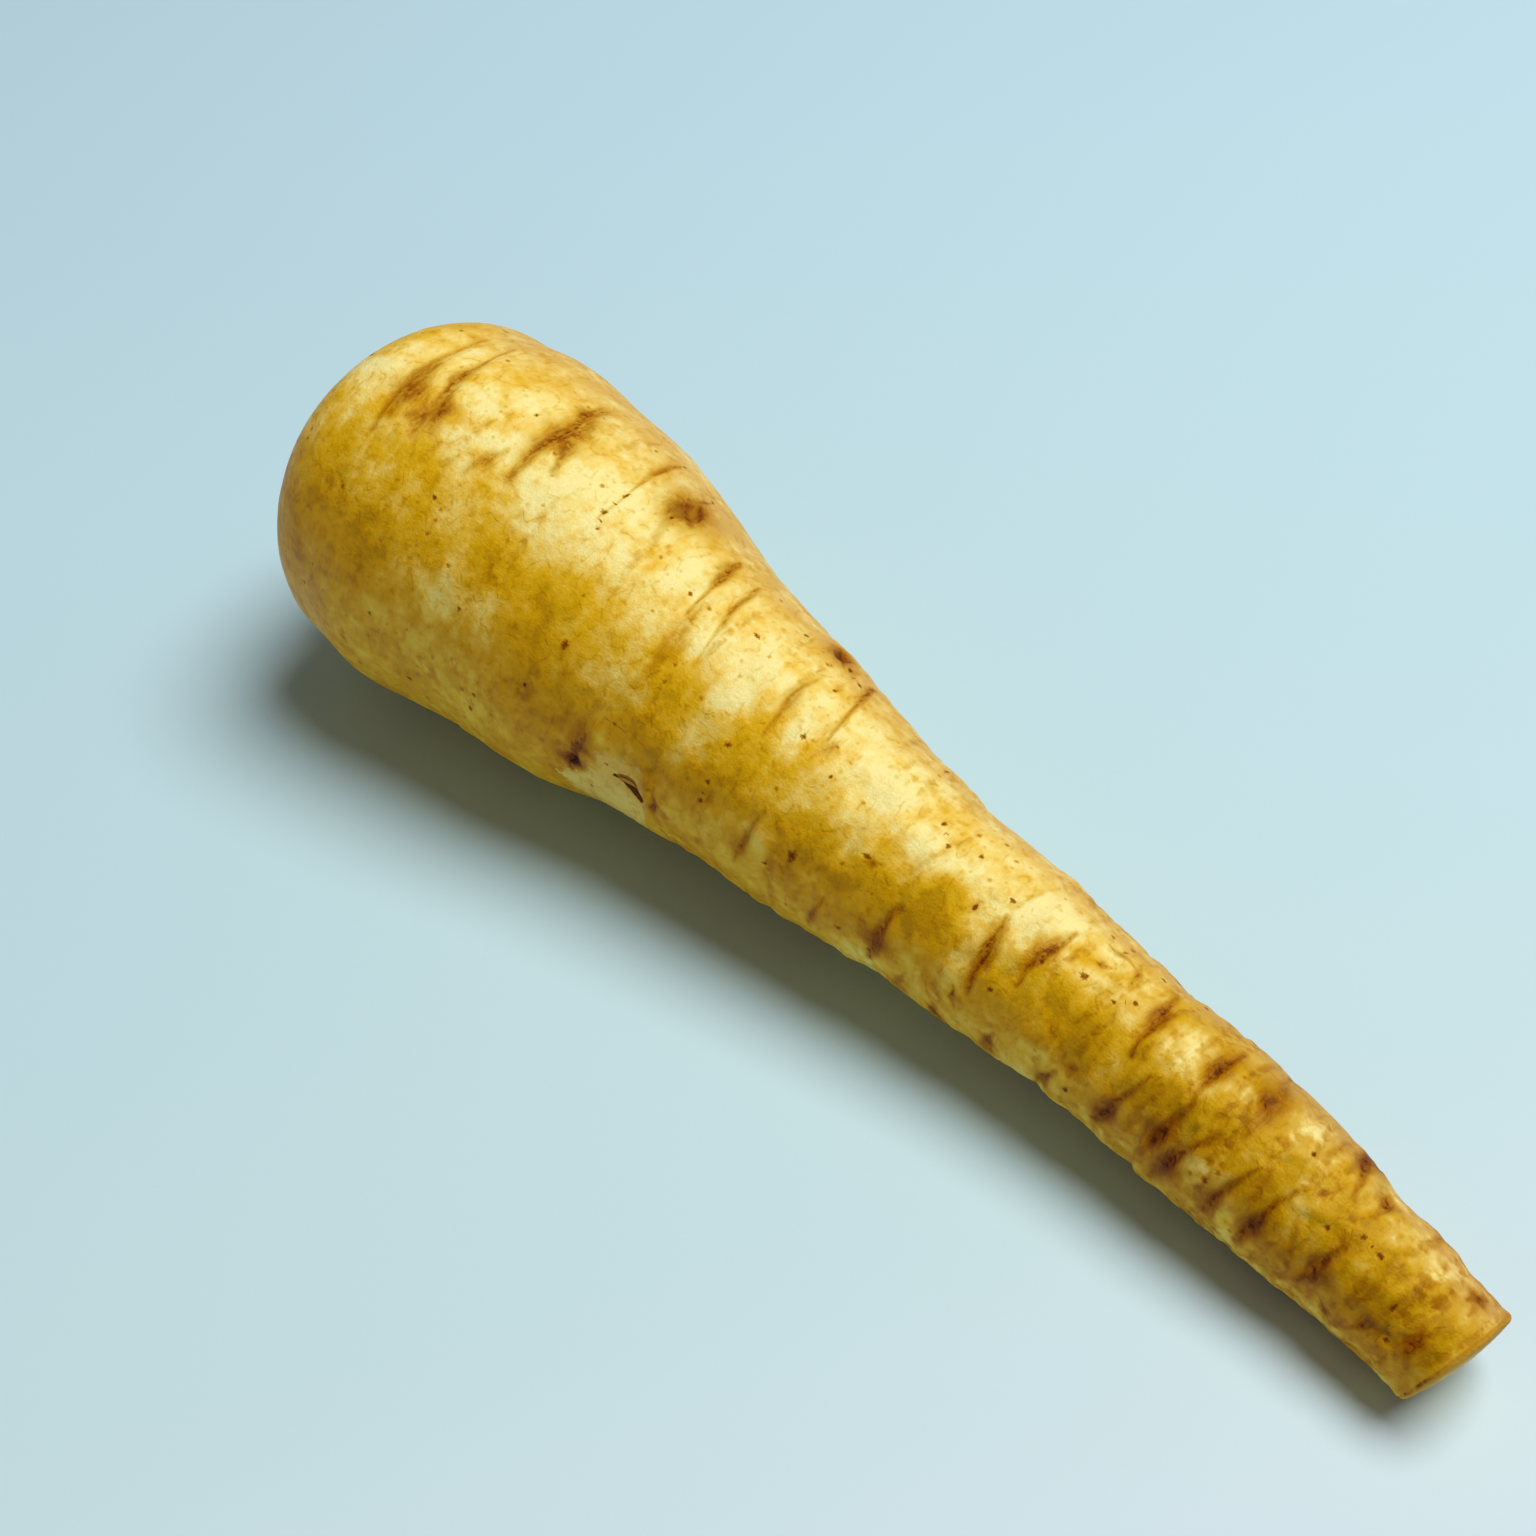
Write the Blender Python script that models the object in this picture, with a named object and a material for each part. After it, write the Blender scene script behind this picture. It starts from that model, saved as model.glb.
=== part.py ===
"""A parsnip root lying on its side, in metres with +Z up.

The crown points towards -X and the cut tip towards +X. The underside rests on z = 0.
The root is one closed skin: a meridian curve is spun round the X axis, each point is pushed
in or out by the relief of the skin, the straight root is bent, and then it is laid down.
"""

import math

import bmesh
import bpy
import numpy as np

MM = 0.001
NODE_NAME = "parsnip_root"

# Main sizes, in millimetres
BODY_LENGTH = 210.5
SHOULDER_DEPTH = 17.5
SHOULDER_POWER = 2.4
TIP_RIM_RADIUS = 1.8
TIP_FACE_BULGE = 0.8

# Share of the body length and radius, from the widest plane of the crown to the cut tip
BODY_RADII = (
    (0.00, 31.0),
    (0.06, 31.6),
    (0.12, 30.1),
    (0.20, 27.6),
    (0.30, 22.4),
    (0.40, 19.1),
    (0.50, 16.1),
    (0.60, 13.8),
    (0.70, 12.5),
    (0.80, 12.0),
    (0.90, 10.7),
    (1.00, 9.0),
)

# Share of the body length and bow of the centre line towards +Y
BODY_BOW = (
    (0.00, 0.0),
    (0.10, 1.6),
    (0.25, 2.4),
    (0.50, 2.8),
    (0.70, 4.0),
    (0.80, 3.7),
    (0.90, 2.5),
    (1.00, 0.0),
)

# The cut across the tip leans: millimetres along the root for each millimetre back or up
CUT_LEAN_BACK = 0.13
CUT_LEAN_UP = 0.19
CUT_LEAN_REACH = 24.0

# The corky plug of old leaf bases that stands in the hollow of the crown
PLUG_RADIUS = 11.6
PLUG_HEIGHT = 3.2
PLUG_WALL = 1.0
HOLLOW_RADIUS = 13.8
HOLLOW_WIDTH = 1.6
HOLLOW_DEPTH = 1.3

# How far the belly and the tip are pressed flat where they rest
BELLY_PRESS = 0.9
TIP_PRESS = 0.45
BELLY_END = 70.0

# Mesh density
SEGMENTS = 40
PLUG_RINGS = 9
SHOULDER_RINGS = 12
BODY_RINGS = 112
RIM_RINGS = 3
FACE_RINGS = 3

# Skin of the root
SKIN_COLOUR = (0.74, 0.52, 0.17, 1.0)
SKIN_ROUGHNESS = 0.42

# Swellings and hollows of the body. Along is measured from the widest plane of the crown, in
# millimetres, and the angle from the top towards the front, in degrees. The last six lie on
# the back and the underside.
SWELLINGS = (
    # along, angle, reach along, reach round, height
    (31, -56, 7, 40, 0.6),
    (55, -56, 9, 45, -0.5),
    (80, -56, 6, 35, 0.3),
    (97, -56, 5, 40, -0.5),
    (113, -56, 5, 40, -0.5),
    (130, -56, 5, 45, 0.6),
    (154, -56, 7, 45, -0.5),
    (192, -56, 5, 45, -0.8),
    (10, 124, 7, 45, 0.7),
    (31, 124, 6, 40, -0.5),
    (49, 124, 7, 40, 0.6),
    (78, 124, 7, 40, -0.4),
    (101, 124, 5, 40, 0.3),
    (115, 124, 4, 40, -0.6),
    (193, 124, 9, 50, -0.6),
    (206, 124, 6, 45, -0.4),
    (203, -56, 4, 40, -0.4),
    (-6, 80, 8, 28, -0.8),
    (-9, 22, 7, 30, 0.5),
    (8, -52, 7, 30, 0.6),
    (20, 180, 10, 45, 0.4),
    (62, -125, 9, 45, -0.4),
    (92, 178, 7, 40, 0.4),
    (122, -130, 6, 45, 0.5),
    (148, 170, 6, 45, -0.5),
    (174, -125, 6, 40, 0.5),
)

# Creases across the root, each from one end to the other as along and angle, with its
# width and depth in millimetres
CREASES = (
    # along, angle, along, angle, width, depth
    (3, 28, 1, -10, 1.7, 0.35),
    (11, 27, 5, -18, 1.6, 0.35),
    (27, 16, 24, -22, 2.0, 0.35),
    (42, 8, 38, -35, 1.2, 0.35),
    (63, 17, 59, -24, 1.4, 0.35),
    (69, 22, 64, -22, 1.3, 0.35),
    (83, 27, 82, -9, 1.4, 0.40),
    (91, 7, 87, -37, 1.4, 0.40),
    (90, 92, 91, 60, 1.5, 0.40),
    (114, 97, 115, 61, 1.6, 0.45),
    (131, 72, 130, 26, 1.5, 0.45),
    (136, 46, 137, 1, 1.5, 0.45),
    (144, 120, 146, 88, 1.4, 0.40),
    (154, 27, 154, -15, 1.6, 0.50),
    (164, 23, 165, -18, 1.6, 0.50),
    (156, 86, 158, 53, 1.6, 0.50),
    (163, 77, 165, 39, 1.6, 0.50),
    (166, 100, 168, 42, 1.6, 0.45),
    (174, 85, 177, 42, 1.5, 0.50),
    (180, 86, 182, 38, 1.5, 0.50),
    (189, 75, 191, 44, 1.5, 0.45),
    (188, -4, 186, -38, 1.5, 0.45),
    (192, -2, 192, -26, 1.3, 0.40),
    (203, 68, 205, 40, 1.4, 0.35),
)

# Scars of side roots: along, angle, radius, height of the boss and depth of its eye
SCARS = (
    (47, -22, 4.2, 0.9, 1.0),
    (80, -38, 3.0, 0.6, 0.9),
    (68, 92, 4.6, 0.7, 0.9),
    (59, 89, 2.0, 0.1, 0.8),
    (120, 112, 2.2, 0.3, 0.4),
    (127, 116, 2.0, 0.4, 0.3),
    (136, 108, 1.9, 0.4, 0.4),
    (172, 0, 1.9, 0.3, 0.5),
    (187, -48, 2.4, 0.6, 0.4),
    (199, -54, 2.6, 0.6, 0.3),
    (52, 175, 3.4, 0.7, 0.8),
    (96, -140, 3.0, 0.6, 0.8),
    (139, 172, 2.4, 0.6, 0.6),
    (161, -118, 2.2, 0.5, 0.6),
)

# Rings of broken leaf bases on the plug: radius, number, height and turn
LEAF_RINGS = (
    (10.2, 7, 1.7, 0.4),
    (6.6, 5, 2.1, 1.9),
    (2.8, 3, 1.5, 0.8),
)
LEAF_WIDTH = 1.5
PLUG_WOBBLE = 0.07
PLUG_BLEND = 20.0

# Finer creases scattered all over, closer together near the tip
RIDGE_COUNT = 60
RIDGE_HEIGHT = 0.16
RIDGE_FIRST = 0.10
RIDGE_SPAN = 0.88
SCAR_EYE_SHARE = 0.45
SEED = 11

# The relief dies away over the crown's end and just before the cut
CROWN_FADE = 0.5
CUT_FADE = 3.0


def hermite(points, at):
    """A smooth curve through the points, with slopes taken from their neighbours."""
    known = np.array(points, float)
    x, y = known[:, 0], known[:, 1]
    slope = np.gradient(y, x)
    cell = np.clip(np.searchsorted(x, at, side="right") - 1, 0, len(x) - 2)
    width = x[cell + 1] - x[cell]
    u = (at - x[cell]) / width
    rise = (1 + 2 * u) * (1 - u) ** 2 * y[cell] + u**2 * (3 - 2 * u) * y[cell + 1]
    lean = u * (1 - u) ** 2 * slope[cell] - u**2 * (1 - u) * slope[cell + 1]
    return rise + width * lean


def smoothstep(low, high, value):
    u = np.clip((value - low) / (high - low), 0.0, 1.0)
    return u * u * (3 - 2 * u)


def end_depth(radius):
    """How far behind the widest plane the crown's end lies at this radius."""
    share = np.clip(radius / BODY_RADII[0][1], 0.0, 1.0)
    dome = SHOULDER_DEPTH * (1 - share**SHOULDER_POWER) ** (1 / SHOULDER_POWER)
    hollow = HOLLOW_DEPTH * np.exp(-(((radius - HOLLOW_RADIUS) / HOLLOW_WIDTH) ** 2))
    plug = PLUG_HEIGHT * (1 - smoothstep(PLUG_RADIUS - PLUG_WALL, PLUG_RADIUS + PLUG_WALL, radius))
    return dome - hollow + plug


def meridian():
    """Rows of (along, radius) from the middle of the crown's plug to the middle of the cut tip."""
    plug_edge = PLUG_RADIUS + PLUG_WALL
    plug_radii = plug_edge * np.linspace(0.0, 1.0, PLUG_RINGS + 1)[1:] ** 0.75
    rows = [(-end_depth(0.0), 0.0)]
    rows += [(-end_depth(radius), radius) for radius in plug_radii]

    widest = BODY_RADII[0][1]
    first = math.asin((plug_edge / widest) ** (SHOULDER_POWER / 2))
    for step in range(1, SHOULDER_RINGS + 1):
        turn = first + (math.pi / 2 - first) * step / SHOULDER_RINGS
        radius = widest * math.sin(turn) ** (2 / SHOULDER_POWER)
        rows.append((-end_depth(radius), radius))

    shares = np.linspace(0.0, 1.0 - TIP_RIM_RADIUS / BODY_LENGTH, BODY_RINGS + 1)[1:]
    rows += list(zip(shares * BODY_LENGTH, hermite(BODY_RADII, shares)))

    rim_start, rim_radius = rows[-1]
    for step in range(1, RIM_RINGS + 1):
        turn = math.pi / 2 * step / RIM_RINGS
        along = rim_start + TIP_RIM_RADIUS * math.sin(turn)
        rows.append((along, rim_radius - TIP_RIM_RADIUS * (1 - math.cos(turn))))

    face_start, face_radius = rows[-1]
    for step in range(1, FACE_RINGS + 2):
        share = 1 - step / (FACE_RINGS + 1)
        rows.append((face_start + TIP_FACE_BULGE * (1 - share**2), face_radius * share))
    return np.array(rows)


def spin_skin(rows):
    """The meridian spun round the X axis, with each point's place on the meridian kept."""
    skin = bmesh.new()
    place = skin.verts.layers.float.new("place")
    chain = []
    for index, (along, radius) in enumerate(rows):
        point = skin.verts.new((along, 0.0, radius))
        point[place] = index
        chain.append(point)
    edges = [skin.edges.new(pair) for pair in zip(chain, chain[1:])]
    bmesh.ops.spin(
        skin,
        geom=chain + edges,
        cent=(0.0, 0.0, 0.0),
        axis=(1.0, 0.0, 0.0),
        angle=2 * math.pi,
        steps=SEGMENTS,
    )
    bmesh.ops.remove_doubles(skin, verts=skin.verts, dist=1e-4)
    bmesh.ops.recalc_face_normals(skin, faces=skin.faces)
    return skin, place


def turn_between(angle, facing):
    """The signed angle from one direction round the root to another."""
    return (angle - facing + math.pi) % (2 * math.pi) - math.pi


def swellings(along, angle):
    """Slow swellings and hollows of the body."""
    height = np.zeros_like(along)
    for centre, facing, reach_along, reach_round, rise in SWELLINGS:
        turn = turn_between(angle, math.radians(facing)) / math.radians(reach_round)
        offset = (along - centre) / reach_along
        height += rise * np.exp(-(offset**2) - turn**2)
    return height


def creases(along, angle):
    """Grooves between two given points of the skin, each with a faint swelling beside it."""
    height = np.zeros_like(along)
    for start, start_angle, end, end_angle, width, depth in CREASES:
        middle = math.radians((start_angle + end_angle) / 2)
        half = math.radians(abs(end_angle - start_angle) / 2)
        turn = turn_between(angle, middle)
        lean = (end - start) / math.radians(end_angle - start_angle)
        offset = (along - (start + end) / 2 - lean * turn) / width
        fade = np.exp(-((turn / half) ** 4))
        height += depth * fade * (0.7 * np.exp(-((offset - 1.5) ** 2)) - np.exp(-(offset**2)))
    return height


def ridges(along, angle, radius, rng):
    """Short creases in seeded places, each a groove beside a swelling."""
    height = np.zeros_like(along)
    for _ in range(RIDGE_COUNT):
        centre = BODY_LENGTH * (RIDGE_FIRST + RIDGE_SPAN * rng.uniform() ** 0.75)
        facing = rng.uniform(-math.pi, math.pi)
        reach = rng.uniform(4.0, 11.0)
        width = rng.uniform(1.3, 2.2)
        lean = rng.uniform(-0.15, 0.15)
        across = radius * turn_between(angle, facing)
        offset = (along - centre - lean * across) / width
        fade = np.exp(-((across / reach) ** 4))
        height += fade * (np.exp(-((offset - 1.2) ** 2)) - 1.3 * np.exp(-(offset**2)))
    return RIDGE_HEIGHT * height


def scars(along, angle, radius):
    """Low bosses with a sunken eye, where thin side roots broke off."""
    height = np.zeros_like(along)
    for centre, facing, reach, rise, eye in SCARS:
        across = radius * turn_between(angle, math.radians(facing))
        away = np.hypot(along - centre, across * 0.8) / reach
        height += rise * np.exp(-(away**2))
        height -= (rise + eye) * np.exp(-((away / SCAR_EYE_SHARE) ** 2))
    return height


def relief(along, angle, radius):
    """Height of the skin above the spun body."""
    rng = np.random.default_rng(SEED)
    body = smoothstep(-SHOULDER_DEPTH, -SHOULDER_DEPTH * CROWN_FADE, along)
    body *= 1 - smoothstep(BODY_LENGTH - CUT_FADE, BODY_LENGTH, along)
    fine = creases(along, angle) + ridges(along, angle, radius, rng)
    return body * (swellings(along, angle) + fine + scars(along, angle, radius))


def leaf_bases(radius, angle):
    """Height of the broken leaf stalks above the plug: uneven crescents round a low heart."""
    height = np.zeros_like(radius)
    for ring, count, rise, turn in LEAF_RINGS:
        crescent = 0.5 + 0.5 * np.cos(count * angle + turn + 0.6 * np.sin(2 * angle + turn))
        height += rise * crescent * np.exp(-(((radius - ring) / LEAF_WIDTH) ** 2))
    return height


def plug_wobble(radius, angle):
    """Share by which the plug's outline is wider or narrower than a circle."""
    wave = 0.6 * np.sin(2 * angle + 0.6) + 0.4 * np.sin(5 * angle + 2.0)
    return PLUG_WOBBLE * wave * (1 - smoothstep(PLUG_RADIUS, PLUG_BLEND, radius))


def resting_turn(points):
    """The turn about Y, and the lift, that bring belly and tip down onto z = 0."""
    belly = points[points[:, 0] < BELLY_END]
    tip = points[points[:, 0] > BELLY_END]
    low_tip = tip[np.argmin(tip[:, 2] - 0.1 * tip[:, 0])]
    slopes = (low_tip[2] + TIP_PRESS - belly[:, 2] - BELLY_PRESS) / (low_tip[0] - belly[:, 0])
    pitch = math.atan(slopes.max())
    turned = belly[:, 2] * math.cos(pitch) - belly[:, 0] * math.sin(pitch)
    return pitch, -turned.min() - BELLY_PRESS


def lay_down(points, pitch, lift):
    """Turns the root about Y, lifts it and presses flat what would reach below z = 0."""
    turned = points.copy()
    turned[:, 0] = points[:, 0] * math.cos(pitch) + points[:, 2] * math.sin(pitch)
    turned[:, 2] = points[:, 2] * math.cos(pitch) - points[:, 0] * math.sin(pitch) + lift
    turned[:, 2] = np.maximum(turned[:, 2], 0.0)
    return turned


def root_points(along, angle, radius):
    """Points of the finished surface, in millimetres, before the root is laid down."""
    crown_end = along < -SHOULDER_DEPTH / 2
    leaf_height = np.where(crown_end, leaf_bases(radius, angle), 0.0)
    wobble = np.where(crown_end, plug_wobble(radius, angle), 0.0)
    reach = (radius + relief(along, angle, radius)) * (1 + wobble)
    back = -reach * np.sin(angle)
    up = reach * np.cos(angle)
    lean = smoothstep(BODY_LENGTH - CUT_LEAN_REACH, BODY_LENGTH, along)
    shifted = along - leaf_height + lean * (CUT_LEAN_BACK * back + CUT_LEAN_UP * up)
    share = np.clip(shifted / BODY_LENGTH, 0.0, 1.0)
    return np.stack([shifted, back + hermite(BODY_BOW, share), up], axis=1)


def make_material():
    skin = bpy.data.materials.new(NODE_NAME + "_skin")
    skin.use_nodes = True
    shader = skin.node_tree.nodes["Principled BSDF"]
    shader.inputs["Base Color"].default_value = SKIN_COLOUR
    shader.inputs["Roughness"].default_value = SKIN_ROUGHNESS
    shader.inputs["Metallic"].default_value = 0.0
    skin.diffuse_color = SKIN_COLOUR
    return skin


def make_root():
    rows = meridian()
    skin, place = spin_skin(rows)
    index = np.array([point[place] for point in skin.verts]).round().astype(int)
    flat = np.array([point.co[:] for point in skin.verts])
    angle = np.arctan2(-flat[:, 1], flat[:, 2])
    points = root_points(rows[index, 0], angle, rows[index, 1])
    points = lay_down(points, *resting_turn(points))
    low, high = points.min(axis=0), points.max(axis=0)
    points[:, :2] -= (low[:2] + high[:2]) / 2
    for point, where in zip(skin.verts, points * MM):
        point.co = where
    mesh = bpy.data.meshes.new(NODE_NAME)
    skin.to_mesh(mesh)
    skin.free()
    mesh.shade_smooth()
    mesh.materials.append(make_material())
    root = bpy.data.objects.new(NODE_NAME, mesh)
    bpy.context.scene.collection.objects.link(root)
    return root


def main():
    for leftover in list(bpy.data.objects):
        bpy.data.objects.remove(leftover, do_unlink=True)
    make_root()


main()
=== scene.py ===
"""The looks of the parsnip root: its finely modelled skin, colours, floor, lights and camera.

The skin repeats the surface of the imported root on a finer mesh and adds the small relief. A point
of the skin is known by its place along the root, in millimetres from the widest plane of the
crown, and by its angle from the top towards the front, in degrees.
"""

import math

import bpy
import numpy as np
from mathutils import Matrix, Vector


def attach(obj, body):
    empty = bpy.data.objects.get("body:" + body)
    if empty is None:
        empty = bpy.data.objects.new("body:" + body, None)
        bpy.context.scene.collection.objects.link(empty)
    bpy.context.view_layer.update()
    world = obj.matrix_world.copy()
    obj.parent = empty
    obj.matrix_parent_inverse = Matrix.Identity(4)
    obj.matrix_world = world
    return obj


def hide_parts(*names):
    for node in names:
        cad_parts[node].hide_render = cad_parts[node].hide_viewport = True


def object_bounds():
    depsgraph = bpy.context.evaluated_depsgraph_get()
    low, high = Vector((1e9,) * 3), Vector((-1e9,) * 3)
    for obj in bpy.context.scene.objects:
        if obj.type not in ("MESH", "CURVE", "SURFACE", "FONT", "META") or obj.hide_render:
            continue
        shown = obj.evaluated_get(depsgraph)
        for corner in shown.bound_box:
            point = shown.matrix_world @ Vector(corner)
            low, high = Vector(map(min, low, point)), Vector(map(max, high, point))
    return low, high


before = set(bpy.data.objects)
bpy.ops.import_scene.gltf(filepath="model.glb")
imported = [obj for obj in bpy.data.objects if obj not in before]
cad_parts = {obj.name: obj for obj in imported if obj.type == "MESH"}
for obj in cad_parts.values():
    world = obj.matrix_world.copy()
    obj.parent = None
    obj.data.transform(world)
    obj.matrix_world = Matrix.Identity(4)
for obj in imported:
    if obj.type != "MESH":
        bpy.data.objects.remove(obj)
CAD_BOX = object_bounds()

MM = 0.001
PIECE_NAME = "parsnip_skin"

# Main sizes of the root, in millimetres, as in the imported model
BODY_LENGTH = 210.5
SHOULDER_DEPTH = 17.5
SHOULDER_POWER = 2.4
TIP_RIM_RADIUS = 1.1
TIP_FACE_BULGE = 0.8
BODY_RADII = (
    (0, 31), (0.06, 31.6), (0.12, 30.1), (0.2, 27.6), (0.3, 22.4), (0.4, 19.1), (0.5, 16.1),
    (0.6, 13.8), (0.7, 12.5), (0.8, 12), (0.9, 10.7), (1, 9),
)
BODY_BOW = (
    (0, 0), (0.1, 1.6), (0.25, 2.4), (0.5, 2.8), (0.7, 4), (0.8, 3.7), (0.9, 2.5), (1, 0),
)
CUT_LEAN_BACK = 0.13
CUT_LEAN_UP = 0.19
CUT_LEAN_REACH = 24.0
PLUG_RADIUS = 11.6
PLUG_HEIGHT = 3.2
PLUG_WALL = 1.0
HOLLOW_RADIUS = 13.8
HOLLOW_WIDTH = 1.6
HOLLOW_DEPTH = 1.3

# How the root was laid down: the turn about Y in radians, the lift and the middle in millimetres
REST_PITCH = 0.1159031
REST_LIFT = 32.520657
REST_MIDDLE = (94.18353, 0.74992)

# Mesh density
RINGS = 570
SEGMENTS = 172
PROFILE_STEPS = 4000
END_STEPS = PROFILE_STEPS // 10

# Swellings: along, angle, reach along, reach round, height
SWELLINGS = (
    (31, -56, 7, 40, 0.6), (55, -56, 9, 45, -0.5), (80, -56, 6, 35, 0.3), (97, -56, 5, 40, -0.5),
    (113, -56, 5, 40, -0.5), (130, -56, 5, 45, 0.6), (154, -56, 7, 45, -0.5),
    (192, -56, 5, 45, -0.8), (10, 124, 7, 45, 0.7), (31, 124, 6, 40, -0.5), (49, 124, 7, 40, 0.6),
    (78, 124, 7, 40, -0.4), (101, 124, 5, 40, 0.3), (115, 124, 4, 40, -0.6),
    (193, 124, 9, 50, -0.6), (206, 124, 6, 45, -0.4), (203, -56, 4, 40, -0.4),
    (-6, 80, 8, 28, -0.8), (-9, 22, 7, 30, 0.5), (8, -52, 7, 30, 0.6), (20, 180, 10, 45, 0.4),
    (62, -125, 9, 45, -0.4), (92, 178, 7, 40, 0.4), (122, -130, 6, 45, 0.5),
    (148, 170, 6, 45, -0.5), (174, -125, 6, 40, 0.5),
)
# Creases: along, angle, along, angle, width, depth
CREASES = (
    (3, 28, 1, -10, 1.7, 0.35), (11, 27, 5, -18, 1.6, 0.35), (27, 16, 24, -22, 2, 0.35),
    (42, 8, 38, -35, 1.2, 0.35), (63, 17, 59, -24, 1.4, 0.35), (69, 22, 64, -22, 1.3, 0.35),
    (83, 27, 82, -9, 1.4, 0.4), (91, 7, 87, -37, 1.4, 0.4), (90, 92, 91, 60, 1.5, 0.4),
    (114, 97, 115, 61, 1.6, 0.45), (131, 72, 130, 26, 1.5, 0.45), (136, 46, 137, 1, 1.5, 0.45),
    (144, 120, 146, 88, 1.4, 0.4), (154, 27, 154, -15, 1.6, 0.5), (164, 23, 165, -18, 1.6, 0.5),
    (156, 86, 158, 53, 1.6, 0.5), (163, 77, 165, 39, 1.6, 0.5), (166, 100, 168, 42, 1.6, 0.45),
    (174, 85, 177, 42, 1.5, 0.5), (180, 86, 182, 38, 1.5, 0.5), (189, 75, 191, 44, 1.5, 0.45),
    (188, -4, 186, -38, 1.5, 0.45), (192, -2, 192, -26, 1.3, 0.4), (203, 68, 205, 40, 1.4, 0.35),
)
CREASE_SHARPNESS = 0.72
# Scars: along, angle, radius, height of the boss, depth of its eye, how brown
SCARS = (
    (47.9, -21, 4.4, 0.7, 0.4, 0.85), (80, -38, 3, 0.6, 0.9, 0.8), (58.7, 91, 2.2, 0.1, 0.8, 0.3),
    (120, 112, 2.2, 0.3, 0.4, 0.5), (127, 116, 2, 0.4, 0.3, 0.7), (136, 108, 1.9, 0.4, 0.4, 0.7),
    (172, 0, 1.9, 0.3, 0.5, 0.3), (187, -48, 2.4, 0.6, 0.4, 0.8), (199, -54, 2.6, 0.6, 0.3, 0.3),
    (52, 175, 3.4, 0.7, 0.8, 0.8), (96, -140, 3, 0.6, 0.8, 0.9), (139, 172, 2.4, 0.6, 0.6, 0.9),
    (161, -118, 2.2, 0.5, 0.6, 0.8),
)
SCAR_EYE_SHARE = 0.45
SCAR_ROUNDNESS = 0.8
# Rings of leaf stalks: radius, number, height, turn
LEAF_RINGS = ((10.2, 7, 1.7, 0.4), (6.6, 5, 2.1, 1.9), (2.8, 3, 1.5, 0.8))
LEAF_WIDTH = 1.5
PLUG_WOBBLE = 0.07
PLUG_BLEND = 20.0
CROWN_FADE = 0.5
CUT_FADE = 3.0
# Where the cut at the tip begins and is full, in millimetres from the end
CUT_RIM = (1.1, 0.4)

# Seeded ridges: seed, number, first place and span as shares of the length, power of the spread,
# reach round, width, factor of the width, most lean, rise and depth of the groove
RIDGE_HEIGHT = 0.16
RIDGES = (11, 60, 0.10, 0.88, 0.75, (4.0, 11.0), (1.3, 2.2), CREASE_SHARPNESS, 0.15, None, 1.3)
SMALL_RIDGE_HEIGHT = 0.15
SMALL_RIDGES = (26, 170, 0.16, 0.82, 0.8, (2.5, 7.0), (0.8, 1.4), 1.0, 0.25, (0.4, 1.0), 1.2)
# Heights of the small relief near the crown, and what the tail adds to them
WRINKLES = (0.10, 0.26)
LUMPS = (0.14, 0.30)
LINE_GROOVES = (0.05, 0.05)
LINE_REACH = 0.55
STREAK_GROOVE = 0.16
STREAK_REACH = 0.9
# How much the small relief is evened on the top edge of the tail, the edge with painted shade
TAIL_EVENED = 0.6

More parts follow.
